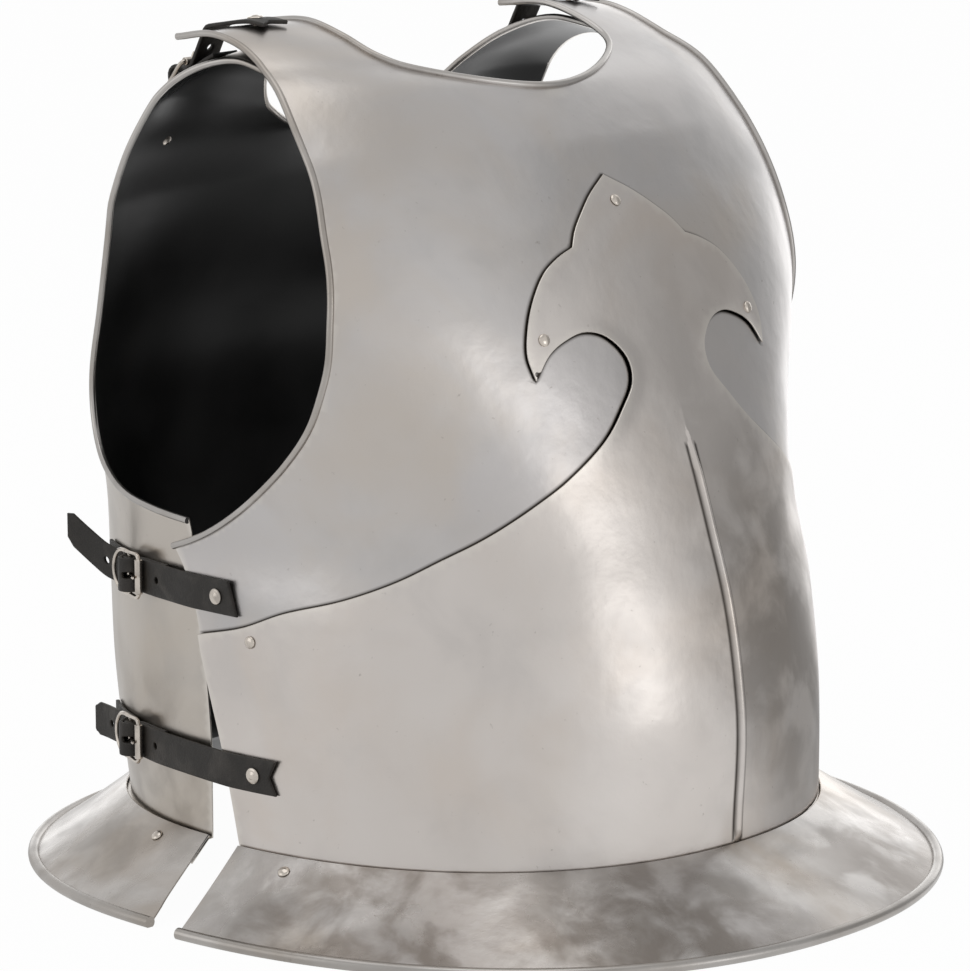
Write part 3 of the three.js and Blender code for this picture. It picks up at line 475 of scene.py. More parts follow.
FRONT_HOOP_SHARES = [
    [0.078, 0.998, 1.0], [0.176, 0.99, 1.003], [0.244, 0.98, 0.997], [0.348, 0.972, 0.957],
    [0.44, 0.966, 0.891], [0.55, 1.06, 0.806], [0.626, 1.146, 0.75], [0.69, 1.207, 0.694],
    [0.754, 1.222, 0.624], [0.824, 1.198, 0.525], [0.88, 1.113, 0.439], [0.922, 1.038, 0.358],
]
BACK_HOOP_SHARES = [
    [0.078, 0.998, 1.0], [0.176, 0.99, 1.08], [0.244, 0.985, 1.12], [0.348, 0.975, 1.15],
    [0.44, 0.985, 1.155], [0.55, 1.075, 1.12], [0.652, 1.17, 0.98], [0.74, 1.22, 0.87],
    [0.82, 1.25, 0.765], [0.85, 1.25, 0.7],
]
FRONT_SIDE_SHARES = [
    [0.076, -0.0913], [0.13, -0.0594], [0.184, -0.0228], [0.24, 0.0274], [0.298, 0.0731],
    [0.334, 0.0913], [0.382, 0.1416], [0.408, 0.1872],
]
FRONT_ARM_SHARES = [
    [0.42, 0.1107], [0.442, 0.0061], [0.48, -0.1321], [0.528, -0.2666], [0.572, -0.3502],
    [0.614, -0.3969], [0.654, -0.4218], [0.7, -0.4251], [0.74, -0.4126], [0.782, -0.3827],
    [0.834, -0.3329], [0.88, -0.2643], [0.922, -0.1884],
]
BACK_SIDE_SHARES = [
    [0.076, 0.0495], [0.13, 0.0549], [0.184, 0.0604], [0.24, 0.0769], [0.298, 0.1044],
    [0.36, 0.1319], [0.42, 0.1538], [0.441, 0.1593],
]
BACK_ARM_SHARES = [
    [0.445, 0.3407], [0.452, 0.5275], [0.464, 0.6429], [0.486, 0.7582], [0.514, 0.8187],
    [0.545, 0.8407], [0.59, 0.8242], [0.652, 0.7747], [0.71, 0.7198], [0.76, 0.6648],
    [0.81, 0.6044], [0.85, 0.5495],
]
FRONT_BAND_SHARES = [
    [0.12, -0.3452, 0.9245, 0.884, -0.1598, 0.931, 0.001],
    [0.24, -0.3105, 0.934, 0.878, -0.137, 0.94, 0.002],
    [0.4, -0.2192, 0.946, 0.855, -0.0776, 0.952, 0.003],
    [0.485, -0.1324, 0.964, 0.838, -0.0274, 0.964, 0.004],
    [0.5, -0.0228, 0.984, 0.825, 0.0548, 0.98, 0.004],
    [0.5, 0.1005, 0.998, 0.825, 0.1461, 0.989, 0.003],
    [0.5, 0.274, 0.994, 0.825, 0.2831, 0.983, 0.002],
]
BACK_BAND_SHARES = [
    [0.1, 0.6813, 0.851, 0.848, 0.533, 0.858, 0.005],
    [0.2, 0.5769, 0.864, 0.845, 0.5165, 0.868, 0.01],
    [0.35, 0.4945, 0.892, 0.835, 0.4725, 0.896, 0.016],
    [0.42, 0.4176, 0.926, 0.815, 0.3956, 0.926, 0.014],
    [0.48, 0.2912, 0.96, 0.785, 0.2747, 0.95, 0.008],
    [0.55, 0.1374, 0.979, 0.76, 0.1429, 0.958, 0.003],
    [0.6, 0.011, 0.97, 0.75, 0.0275, 0.948, 0.001],
]
print("body", 2 * HALF_WIDTH, "wide and", HEIGHT, "high, centre line at y", CENTRE_Y)

# %% Hoops


def hermite(t, a, b, slope_a, slope_b, span=1):
    """Value at a share t of the way from a to b, with a slope at each end."""
    return ((2 * t**3 - 3 * t**2 + 1) * a + (t**3 - 2 * t**2 + t) * slope_a * span
            + (3 * t**2 - 2 * t**3) * b + (t**3 - t**2) * slope_b * span)


def along(rows, key, column):
    """Value of a column at a key, on a smooth line through the rows."""
    table = np.asarray(rows, float)
    x, y = table[:, 0], table[:, column]
    before, after = np.r_[0, :len(x) - 1], np.r_[1:len(x), len(x) - 1]
    slope = (y[after] - y[before]) / (x[after] - x[before])
    i = np.clip(np.searchsorted(x, key), 1, len(x) - 1)
    span = x[i] - x[i - 1]
    t = np.clip((key - x[i - 1]) / span, 0, 1)
    return hermite(t, y[i - 1], y[i], slope[i - 1], slope[i], span)


FRONT = dict(facing=-1, depth=FRONT_DEPTH, flare=FRONT_FLARE, tuck=0, power=2.15,
             hoops=FRONT_HOOP_SHARES, bands=FRONT_BAND_SHARES, rim_end=FRONT_RIM_END,
             side=FRONT_SIDE_SHARES, arm=FRONT_ARM_SHARES)
BACK = dict(facing=1, depth=BACK_DEPTH, flare=REAR_FLARE, tuck=BACK_TUCK, power=2.3,
            hoops=BACK_HOOP_SHARES, bands=BACK_BAND_SHARES, rim_end=REAR_RIM_END,
            side=BACK_SIDE_SHARES, arm=BACK_ARM_SHARES)


def hoop(shell, height):
    """Half width and depth of a half at a height, as a share of the whole height."""
    return (along(shell["hoops"], height, 1) * HALF_WIDTH - shell["tuck"],
            along(shell["hoops"], height, 2) * shell["depth"])


def angle_of(shell, depth, behind):
    """Angle round a hoop, from its middle, of a place behind the centre line."""
    share = np.clip(shell["facing"] * behind / depth, -1, 1)
    return np.arccos(np.sign(share) * np.abs(share) ** (shell["power"] / 2))


def hoop_point(shell, width, depth, angle, z):
    """A point on a hoop; past the centre line a half runs straight on."""
    s, c = np.sin(angle), np.cos(angle)
    reach = np.where(c < 0, 1, np.abs(s) ** (2 / shell["power"]))
    bow = np.sign(c) * np.abs(c) ** (2 / shell["power"])
    x, y = width * np.sign(s) * reach, CENTRE_Y + shell["facing"] * depth * bow
    return np.stack(np.broadcast_arrays(x, y, z), -1)


def body_point(shell, height, angle):
    """A point of the bare body of a half."""
    width, depth = hoop(shell, height)
    return hoop_point(shell, width, depth, angle, height * HEIGHT)


def skirt_point(shell, spread, share, drop=0):
    """Spread 0 is the skirt's top edge and spread 1 the middle of its rim."""
    width, depth = hoop(shell, shell["side"][0][0])
    width, depth = width + STAND_OFF, depth + STAND_OFF
    wide, deep = width + SIDE_FLARE, depth + shell["flare"]
    top_end = angle_of(shell, depth, shell["side"][0][1] * shell["depth"])
    rim_end = angle_of(shell, deep, shell["rim_end"] * shell["depth"])
    angle = share * (top_end + (rim_end - top_end) * spread)
    fall = (SKIRT_TOP - RIM_ROLL + RIM_FLAT) * spread
    z = SKIRT_TOP - drop - fall * (1 + SKIRT_BULGE * (1 - spread))
    return hoop_point(shell, width + (wide - width) * spread, depth + (deep - depth) * spread,
                      angle, z)


print("breast reaches y", body_point(FRONT, 0.2, 0.0)[1].round(1))

# %% [markdown]
# ## Smooth lines and flat patterns
# An armourer cuts each plate from a flat pattern and then bends it. The same idea
# serves here: a pattern is drawn flat as smooth outlines, filled with evenly spaced
# points and triangles, and each point is then carried onto the bent surface. This
# keeps every edge smooth, and the triangles stay even, which clean reflections need.

# %% Smooth lines
CURVE_STEPS, TINY = 24, 1e-9


def unit(vectors):
    """The same directions with a length of one."""
    return vectors / np.linalg.norm(vectors, axis=-1, keepdims=True)


def run_along(line):
    """How far each point of a line is from its start, along the line."""
    return np.r_[0, np.cumsum(np.linalg.norm(np.diff(line, axis=0), axis=1))]


def places_at(line, run, wanted):
    """Places on a line at wanted distances."""
    return np.stack([np.interp(wanted, run, column) for column in line.T], -1)


def spline(points, spacing):
    """Even points on a smooth curve through the given ones."""
    points = np.asarray(points, float)
    padded = np.vstack([2 * points[0] - points[1], points, 2 * points[-1] - points[-2]])
    gaps = np.sqrt(np.linalg.norm(np.diff(padded, axis=0), axis=1))
    t = np.linspace(0, 1, CURVE_STEPS, endpoint=False)[:, None]
    line = []
    for i in range(1, len(padded) - 2):
        p0, p1, p2, p3 = padded[i - 1:i + 3]
        d0, d1, d2 = gaps[i - 1:i + 2]
        m1 = ((p1 - p0) / d0 - (p2 - p0) / (d0 + d1) + (p2 - p1) / d1) * d1
        m2 = ((p2 - p1) / d1 - (p3 - p1) / (d1 + d2) + (p3 - p2) / d2) * d1
        line.append(hermite(t, p1, p2, m1, m2))
    return evenly(np.vstack([*line, points[-1:]]), spacing)


def evenly(line, spacing):
    """The same line with its points about one spacing apart."""
    run = run_along(line)
    count = max(1, round(run[-1] / spacing)) + 1
    return places_at(line, run, np.linspace(0, run[-1], count))


def smooth_line(points, spacing, corners=()):
    """A smooth line that keeps a sharp corner at the listed points."""
    points = np.asarray(points, float)
    stops = [0, *corners, len(points) - 1]
    runs = [spline(points[a:b + 1], spacing) for a, b in zip(stops, stops[1:])]
    return np.vstack([runs[0]] + [run[1:] for run in runs[1:]])


print("a quarter circle gets", len(spline([(0, 1), (0.7, 0.7), (1, 0)], 0.1)), "points")

# %% Flat patterns
# Inner points keep a share of the spacing from every outline.
BORDER_SHARE, NEARLY, MERGED = 0.55, 0.05, 1e-5


def inside(points, loops):
    """Which points lie inside the outer loop and outside the holes."""
    found = np.zeros(len(points), bool)
    for loop in loops:
        for (x0, y0), (x1, y1) in zip(loop, np.roll(loop, -1, 0)):
            crosses = (points[:, 1] < y0) != (points[:, 1] < y1)
            if crosses.any():
                x = x0 + (points[:, 1] - y0) * (x1 - x0) / (y1 - y0)
                found ^= crosses & (points[:, 0] < x)
    return found


def distance_to(points, line):
    """Distance of each point from a line of short straight pieces."""
    nearest = np.full(len(points), np.inf)
    for a, b in zip(line[:-1], line[1:]):
        ab = b - a
        t = np.clip(((points - a) @ ab) / max(ab @ ab, TINY), 0, 1)
        nearest = np.minimum(nearest, np.linalg.norm(points - a - t[:, None] * ab, axis=1))
    return nearest


def clear_of(points, loops, margin):
    """Which points are further than the margin from every outline."""
    return np.all([distance_to(points, np.vstack([loop, loop[:1]])) > margin
                   for loop in loops], axis=0)


def beside(line, offsets):
    """Rows of points beside a line, where no other part of it is nearer."""
    way = np.gradient(line, axis=0)
    rows = [line + unit(np.stack([way[:, 1], -way[:, 0]], -1)) * offset for offset in offsets]
    return np.vstack([row[abs(distance_to(row, line) - abs(offset)) < NEARLY]
                      for row, offset in zip(rows, offsets)])


def smooth_step(value, low, high):
    """0 below low, 1 above high, and a soft rise between."""
    t = np.clip((value - low) / (high - low), 0, 1)
    return t * t * (3 - 2 * t)


def fill_pattern(loops, spacing, extra=None, keep=None):
    """Points and triangles over a flat pattern, and the outlines' point numbers.

    Loops are the outline and the holes. Extra points replace the even ones that aren't kept.
    """
    low, high = loops[0].min(0), loops[0].max(0)
    rows = np.arange(low[1], high[1], spacing * math.sqrt(3) / 2)
    columns = np.arange(low[0], high[0], spacing)
    grid = np.array([(x + (k % 2) * spacing / 2, y) for k, y in enumerate(rows) for x in columns])
    if extra is not None:
        grid = np.vstack([grid[keep(grid)], extra])
    grid = grid[inside(grid, loops)]
    grid = grid[clear_of(grid, loops, spacing * BORDER_SHARE)]
    outline = np.vstack(loops)
    edges, start = [], 0
    for loop in loops:
        edges += [(start + i, start + (i + 1) % len(loop)) for i in range(len(loop))]
        start += len(loop)
    points = [Vector(p) for p in np.vstack([outline, grid])]
    made = delaunay_2d_cdt(points, edges, [], 0, MERGED)
    flat, triangles = np.array([tuple(p) for p in made[0]]), np.array(made[2])
    triangles = triangles[inside(flat[triangles].mean(1), loops)]
    new_place = {index: new for new, old in enumerate(made[3]) for index in old}
    return flat, triangles, np.array([new_place[i] for i in range(len(outline))])


square = np.array([(0, 0), (40, 0), (40, 40), (0, 40)], float)
print("a 40 mm square gets", len(fill_pattern([square], 4)[1]), "triangles")

# %% [markdown]
# ## From a sheet to a plate
# A surface has no thickness, and a plate needs one. Each point is moved out and in
# along the surface's own direction, which makes two skins, and a narrow wall with a
# slightly rounded profile joins them along every open edge. Solidify could do the
# same, but here the wall's profile can differ between steel and leather.

# %% Sheets and their edges


def point_normals(points, triangles):
    """Direction of the surface at each point."""
    a, b, c = (points[triangles[:, k]] for k in range(3))
    face = np.cross(b - a, c - a)
    total = np.zeros_like(points)
    for k in range(3):
        np.add.at(total, triangles[:, k], face)
    return total / np.maximum(np.linalg.norm(total, axis=1), TINY)[:, None]


def quads(rows, flipped=False):
    """Triangles between rows of point numbers, which run upward."""
    a, b = rows[:-1, :-1].ravel(), rows[:-1, 1:].ravel()
    c, d = rows[1:, 1:].ravel(), rows[1:, :-1].ravel()
    made = np.vstack([np.stack([a, b, c], -1), np.stack([a, c, d], -1)])
    return made[:, ::-1] if flipped else made


def new_rows(start, count, width):
    """Numbers of new points in rows, counted on from a start."""
    return start + np.arange(count * width).reshape(count, width)


def edge_walk(triangles):
    """Points on the open edge, those ahead of them and those behind them."""
    used = {}
    for triangle in triangles.tolist():
        for a, b in zip(triangle, triangle[1:] + triangle[:1]):
            if not used.pop((b, a), False):
                used[a, b] = True
    ahead = dict(used.keys())
    behind = {b: a for a, b in ahead.items()}
    return np.array([(i, ahead[i], behind[i]) for i in ahead]).T


def close_shell(points, triangles, inner, outer, profile):
    """A closed plate, and 1 for each triangle of its inner skin.

    The profile is (outward, share of the way in) across its edge.
    """
    normals = point_normals(points, triangles)
    top, under = (points + normals * np.broadcast_to(far, len(points))[:, None]
                  for far in (outer, inner))
    edge, after, before = edge_walk(triangles)
    out = unit(np.cross(points[after] - points[before], normals[edge]))
    levels = [top[edge] * (1 - way) + under[edge] * way + out * reach for reach, way in profile]
    top[edge], under[edge] = levels[0], levels[-1]
    count = len(points)
    rings = new_rows(2 * count, len(levels) - 2, len(edge))
    order = np.zeros(count, int)
    order[edge] = np.arange(len(edge))
    here = np.vstack([edge, rings, edge + count])
    there = np.vstack([after, rings[:, order[after]], after + count])
    wall = []
    for a, b, c, d in zip(there, here, here[1:], there[1:]):
        wall += [np.stack([a, b, c], -1), np.stack([a, c, d], -1)]
    wall = np.vstack(wall)
    under_face = np.repeat([0, 1, 0], [len(triangles), len(triangles), len(wall)])
    return (np.vstack([top, under, *levels[1:-1]]),
            np.vstack([triangles, triangles[:, ::-1] + count, wall]), under_face)


PLATE_EDGE = [(0, 0), (0.3, 0.3), (0.3, 0.7), (0, 1)]
HIDE_EDGE = [(-0.7, 0), (-0.2, 0.1), (0, 0.3), (0, 0.7), (-0.2, 0.9), (-0.7, 1)]
print("a plate's edge has", len(PLATE_EDGE), "levels and a strap's", len(HIDE_EDGE))

# %% Pieces


def make_piece(name, parts, materials, body, nodes, smooth=40, marks=None):
    """One object from (points, triangles, material number of each) parts.

    Marks are named values for the points of the first part.
    """
    points, faces, finish, start = [], [], [], 0
    for place, triangles, which in parts:
        points.append(place)
        faces.append(triangles + start)
        finish.append(np.broadcast_to(which, len(triangles)))
        start += len(place)
    mesh = bpy.data.meshes.new(name)
    mesh.from_pydata((np.vstack(points) * MM).tolist(), [], np.vstack(faces).tolist())
    mesh.polygons.foreach_set("material_index", np.concatenate(finish).astype(np.int32))
    mesh.polygons.foreach_set("use_smooth", np.ones(len(mesh.polygons), bool))
    for material in materials:
        mesh.materials.append(material)
    mesh.set_sharp_from_angle(angle=math.radians(smooth))
    for label, values in (marks or {}).items():
        layer = mesh.attributes.new(label, "FLOAT", "POINT")
        layer.data.foreach_set("value", np.r_[values, np.zeros(start - len(values))])
    piece = add_object(name, mesh)
    if body:
        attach(piece, body)
    if nodes:
        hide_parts(*nodes)
    print(name, len(mesh.polygons), "triangles")
    return piece


print("pieces are made smooth, but sharp where they turn by more than 35 to 50 degrees")

# %% [markdown]
# ## Rolled edges, with Geometry Nodes
# The maker turned each free edge over a wire, which leaves a round bead along the
# neck, the armholes and the skirts' rims. A bead is one shape that follows a path,
# which is what Geometry Nodes do well: the path becomes a curve, and a circle of the
# bead's radius is drawn along it. The same tree bends the buckles' wire.

# %% Bead tree


def tool_tree(name, inputs, output):
    """A Geometry Nodes tree, its named inputs and its open end.

    What is fed to the open end is made real, gets its finish and is the output.
    """
    tree = bpy.data.node_groups.new(name, "GeometryNodeTree")
    for label, kind in inputs.items():
        tree.interface.new_socket(label, in_out="INPUT", socket_type="NodeSocket" + kind)
    tree.interface.new_socket(output, in_out="OUTPUT", socket_type="NodeSocketGeometry")
    ask = tree.nodes.new("NodeGroupInput").outputs
    real = tree.nodes.new("GeometryNodeRealizeInstances")
    paint = add_node(tree, "GeometryNodeSetMaterial",
                     {"Geometry": real.outputs[0], "Material": ask["Finish"]})
    feed(tree, tree.nodes.new("NodeGroupOutput").inputs[0], paint.outputs[0])
    return tree, ask, real.inputs[0]


def run_tree(tree, mesh, values):
    """Points and triangles, in millimetres, of a tree run once on a mesh."""
    carrier = add_object("carrier", mesh)
    modifier = carrier.modifiers.new("tree", "NODES")
    modifier.node_group = tree
    for item in tree.interface.items_tree:
        if item.in_out == "INPUT" and item.name in values:
            modifier[item.identifier] = values[item.name]
    graph = bpy.context.evaluated_depsgraph_get()
    made = bpy.data.meshes.new_from_object(carrier.evaluated_get(graph))
    bpy.data.objects.remove(carrier)
    made.calc_loop_triangles()
    points = np.zeros(len(made.vertices) * 3, np.float32)
    triangles = np.zeros(len(made.loop_triangles) * 3, np.int32)
    made.vertices.foreach_get("co", points)
    made.loop_triangles.foreach_get("vertices", triangles)
    bpy.data.meshes.remove(made)
    return points.reshape(-1, 3).astype(float) / MM, triangles.reshape(-1, 3)


def outward(points, triangles):
    """Turns a closed shape's triangles so that they face out."""
    a, b, c = (points[triangles[:, k]] for k in range(3))
    volume = (a * np.cross(b, c)).sum()
    return triangles if volume > 0 else triangles[:, ::-1]


BEAD, ask, end = tool_tree("round_bar_on_path", {
    "Path": "Geometry", "Bar radius": "Float", "Bar sides": "Int", "Finish": "Material"}, "Bar")
path = add_node(BEAD, "GeometryNodeMeshToCurve", {0: ask["Path"]})
circle = add_node(BEAD, "GeometryNodeCurvePrimitiveCircle",
                  {"Radius": ask["Bar radius"], "Resolution": ask["Bar sides"]})
sweep = add_node(BEAD, "GeometryNodeCurveToMesh", {
    "Curve": path.outputs[0], "Profile Curve": circle.outputs[0], "Fill Caps": True})
feed(BEAD, end, sweep.outputs[0])


def bead(line, radius, finish, sides=14, closed=False):
    """A round bar along a line of points."""
    count = len(line)
    edges = [(i, (i + 1) % count) for i in range(count if closed else count - 1)]
    mesh = bpy.data.meshes.new("path")
    mesh.from_pydata((np.asarray(line) * MM).tolist(), edges, [])
    points, triangles = run_tree(BEAD, mesh, {
        "Bar radius": radius * MM, "Bar sides": sides, "Finish": finish})
    return points, outward(points, triangles)


trial = bead([(0, 0, 0), (10, 0, 0), (20, 0, 0)], 2, RIM)
print("a straight bead is", np.ptp(trial[0], axis=0).round(1), "mm")

# %% [markdown]
# ## Body plates
# The breastplate and the backplate are each one sheet: a body with curved side and
# armhole edges, then two bands that carry on over the shoulders. The body is filled
# from a flat pattern. The bands are rows of points that run smoothly from the body's
# top row to the free end.

# %% The flat pattern of a body
PATTERN_STEP = 4.0
TOP_HALF, FOOT_HALF = 40, 80
CHART_REACH, CHART_HEIGHT, CHART_POINTS = 2.5, 0.4, 2001


def chart(shell):
    """Angles, and the length round a middle hoop at each of them."""
    angles = np.linspace(-CHART_REACH, CHART_REACH, CHART_POINTS)
    run = run_along(hoop_point(shell, *hoop(shell, CHART_HEIGHT), angles, 0.0))
    return angles, run - run[CHART_POINTS // 2]


def flatten(shell, behind, z):
    """Flat pattern place of a point at a height and behind the centre line."""
    angle = angle_of(shell, hoop(shell, z / HEIGHT)[1], behind)
    return np.stack([np.interp(angle, *chart(shell)), z], -1)


def carry(shell, flat):
    """The bent surface's points for flat ones."""
    angles, run = chart(shell)
    return body_point(shell, flat[:, 1] / HEIGHT, np.interp(flat[:, 0], run, angles))


def level_row(shell, height, behind, half_count):
    """Evenly shared points across the pattern at one height."""
    z = height * HEIGHT
    end = angle_of(shell, hoop(shell, height)[1], behind)
    angles = end * np.linspace(-1, 1, 2 * half_count + 1)
    return np.stack([np.interp(angles, *chart(shell)), np.full(len(angles), z)], -1)


def edge_line(shell, foot, step):
    """Side and armhole edge from the foot to the neck: behind and z."""
    side = [row for row in shell["side"] if row[0] >= foot - TINY]
    points = [(b * shell["depth"], z * HEIGHT) for z, b in side + shell["arm"]]
    return smooth_line(points, step, [len(side) - 1])


def body_sheet(shell, foot, extra=None, keep=None):
    """The filled pattern of a body, its bottom and top rows and its armhole start."""
    line = edge_line(shell, foot, PATTERN_STEP)
    corner_z = shell["side"][-1][0] * HEIGHT
    rise = flatten(shell, line[:, 0], line[:, 1])
    bottom = level_row(shell, foot, line[0, 0], FOOT_HALF)
    top = level_row(shell, line[-1, 1] / HEIGHT, line[-1, 0], TOP_HALF)
    mirrored = rise * (-1, 1)
    loop = np.vstack([bottom, rise[1:-1], top[::-1], mirrored[::-1][1:-1]])
    flat, triangles, place = fill_pattern([loop], PATTERN_STEP, extra, keep)
    rows = {"bottom": place[:len(bottom)], "flat": flat}
    start = len(bottom) + len(rise) - 2
    rows["top"] = place[start:start + len(top)][::-1]
    corner = int(np.argmin(abs(rise[:, 1] - corner_z)))
    left = np.r_[place[len(bottom) - 1:start], rows["top"][-1:]]
    right = np.r_[place[0], place[start + len(top):][::-1], rows["top"][:1]]
    rows["arm"] = {1: left[corner:], -1: right[corner:]}
    rows["z"] = line[-1, 1]
    return carry(shell, flat), triangles, rows


print("pattern of a body, every", PATTERN_STEP, "mm")

# %% Shoulder bands
BAND_STEPS, ROW_BELOW = 8, 0.004
RELAX_REACH, RELAX_ROUNDS, RELAX_SHARE = (14, 38), 120, 0.5


def band_row(shell, start, shares, side):
    """One row across a shoulder band, bulged a little as the row it starts from."""
    neck, arm = (np.array([side * x * HALF_WIDTH, CENTRE_Y + y * shell["depth"], z * HEIGHT])
                 for x, y, z in (shares[:3], shares[3:6]))
    t = np.linspace(0, 1, len(start))[:, None]
    fade = (np.linalg.norm(neck - arm) / np.linalg.norm(start[0] - start[-1])) ** 2
    bulge = start - (start[0] * (1 - t) + start[-1] * t)
    lift = 4 * t * (1 - t) * shares[6] * HEIGHT * (0, 0, 1)
    return neck * (1 - t) + arm * t + bulge * fade + lift


def band_rows(shell, start, normals, side):
    """Rows of a band from the body's top row to its free end."""
    rows = [start] + [band_row(shell, start, shares, side) for shares in shell["bands"]]
    chords = [b - a for a, b in zip(rows, rows[1:])]
    lengths = [np.linalg.norm(chord, axis=1)[:, None] for chord in chords]
    slopes = [unit(chords[0] - normals * (chords[0] * normals).sum(1)[:, None])]
    for i in range(1, len(chords)):
        a, b = lengths[i - 1], lengths[i]
        slopes.append((chords[i - 1] / a * b + chords[i] / b * a) / (a + b))
    slopes.append(chords[-1] / lengths[-1])
    return [hermite(t, rows[i], rows[i + 1], slopes[i], slopes[i + 1], length)
            for i, length in enumerate(lengths)
            for t in np.arange(1, BAND_STEPS + 1) / BAND_STEPS]


def relaxed(points, triangles, share):
    """Moves points towards the middle of their neighbours, edge points along the edge."""
    pairs = np.vstack([triangles[:, [0, 1]], triangles[:, [1, 2]], triangles[:, [2, 0]]])
    pairs = np.unique(np.sort(pairs, axis=1), axis=0)
    a, b = pairs[share[pairs].sum(1) > 0].T
    count = np.maximum(np.bincount(np.r_[a, b], minlength=len(points)), 1)[:, None]
    walk_round = edge_walk(triangles)
    edge, ahead, behind = walk_round[:, share[walk_round[0]] > 0]
    for _ in range(RELAX_ROUNDS):
        total = np.zeros_like(points)
        np.add.at(total, a, points[b])
        np.add.at(total, b, points[a])
        middle = total / count
        middle[edge] = (points[ahead] + points[behind]) / 2
        points = points + (middle - points) * share[:, None] * RELAX_SHARE
    return points


def with_bands(shell, sheet):
    """Adds both shoulder bands; gives back the arm and neck edges too."""
    points, triangles, rows = sheet
    height = rows["z"] / HEIGHT
    parts, faces, arms, necks = [points], [triangles], {}, {}
    count, width = len(points), TOP_HALF + 1
    top = points[rows["top"]]
    angles = angle_of(shell, hoop(shell, height)[1], shell["arm"][-1][1] * shell["depth"])
    down = body_point(shell, height - ROW_BELOW, angles * np.linspace(-1, 1, len(top)))
    normals = -shell["facing"] * unit(np.cross(np.gradient(top, axis=0), top - down))
    for side in (1, -1):
        half = slice(TOP_HALF, None, side)
        made = band_rows(shell, top[half], normals[half], side)
        grid = np.vstack([rows["top"][half], new_rows(count, len(made), width)])
        faces.append(quads(grid, (side < 0) != (shell["facing"] > 0)))
        parts += made
        count += len(made) * width
        arms[side] = np.r_[rows["arm"][side][:-1], grid[:, -1]]
        necks[side] = grid[:, 0]
    points, faces = np.vstack(parts), np.vstack(faces)
    share = 1 - smooth_step(distance_to(points, top), *RELAX_REACH)
    return relaxed(points, faces, share), faces, arms, necks


print("a band has", BAND_STEPS, "rows of points for each row of its table")

# %% Plates with rolled edges
# A plate's materials are its steel, the blackened inside and the rim's steel.
BEAD_STEP, RIM_SLOT = 2.5, 2


def rolled_edges(points, triangles, arms, necks):
    """Beads along both armholes and the neck."""
    normals = point_normals(points, triangles)
    neck = np.r_[necks[-1][::-1], necks[1][1:]]
    beads = []
    for edge in (arms[1], arms[-1], neck):
        line = points[edge] + normals[edge] * (-PLATE + EDGE_ROLL * ROLL_SEAT)
        beads.append((*bead(evenly(line, BEAD_STEP), EDGE_ROLL, RIM), RIM_SLOT))
    return beads


def plate(points, triangles, inner=-PLATE, outer=0):
    """Steel outside and blackened inside."""
    return close_shell(points, triangles, inner, outer, PLATE_EDGE)


def rubbed(points, triangles, count):
    """Mark that is 1 on the open edge of a sheet, for the plate's count of points."""
    on_edge = np.zeros(len(points))
    on_edge[edge_walk(triangles)[0]] = 1
    return np.r_[on_edge, on_edge, np.ones(count - 2 * len(points))]


print("a plate's wall adds", len(PLATE_EDGE) - 2, "rows of points")

# %% [markdown]
# ## Where the plackart's edge lies
# A line of painted shadow lies on the breastplate along the edge of the plate above
# it. The edge's line is needed first, so that the breastplate's pattern can have fine
# points beside it. They carry a mark of painted shadow, which the steel finish turns dark.

# %% The plackart's edge
FLANK_SHARES = [
    [0.274, 0.305], [0.0868, 0.312], [-0.0822, 0.33], [-0.2192, 0.354], [-0.3836, 0.376],
    [-0.5068, 0.4], [-0.5982, 0.426], [-0.6941, 0.46], [-0.8219, 0.49],
]
HEAD_SHARES = [
    [0.66, 0.451], [0.53, 0.486], [0.435, 0.51], [0.3, 0.548], [0.225, 0.578], [0.165, 0.608],
    [0.165, 0.634], [0.225, 0.659], [0.295, 0.666], [0.37, 0.659], [0.43, 0.646], [0.485, 0.62],
    [0.497, 0.645], [0.478, 0.675], [0.435, 0.705], [0.37, 0.732], [0.3, 0.747], [0.24, 0.755],
    [0.205, 0.772], [0.15, 0.79], [0.085, 0.808], [0, 0.826],
]
HEAD_LOW, HOOK_TIP, HEAD_NOTCH, SEAM_STEP = 3, 11, 17, 3.0
SEAM_OFFSETS = (-1.5, 0.0, 0.8, 1.6, 2.4, 4.0)
SEAM_FINE, SEAM_CLEAR, SHADOW_LINE_EDGE = 2.0, 5.0, (0.66, 2.2)


def plackart_edge():
    """Left half of the top edge, from the side edge to the peak, flat."""
    flank = [(y * FRONT_DEPTH, z * HEIGHT) for y, z in FLANK_SHARES[1:]
             if z < HEAD_SHARES[0][1]]
    flank[0] = (along(FRONT_SIDE_SHARES, flank[0][1] / HEIGHT, 1) * FRONT_DEPTH, flank[0][1])
    line = [flatten(FRONT, y, z) for y, z in flank]
    angles, run = chart(FRONT)
    for x, z in HEAD_SHARES:
        width, _ = hoop(FRONT, z)
        angle = np.arcsin((x * HALF_WIDTH / width) ** (FRONT["power"] / 2))
        line.append((np.interp(angle, angles, run), z * HEIGHT))
    corners = [len(flank) + HOOK_TIP, len(flank) + HEAD_NOTCH]
    return smooth_line(line, SEAM_STEP, corners)


SEAM_LINE = plackart_edge()
SEAM_LINES = [SEAM_LINE, SEAM_LINE * (-1, 1)]


def from_seam(flat):
    """Distance of flat points from the plackart's edge."""
    return np.min([distance_to(flat, line) for line in SEAM_LINES], axis=0)


def beside_seam():
    """Fine flat points on both sides of the plackart's edge."""
    rows = beside(evenly(SEAM_LINE, SEAM_FINE), SEAM_OFFSETS)
    return np.vstack([rows, rows * (-1, 1)])


def off_seam(grid):
    """Which even points stay clear of those."""
    return from_seam(grid) > SEAM_CLEAR


print("plackart edge", len(SEAM_LINE), "points a side")

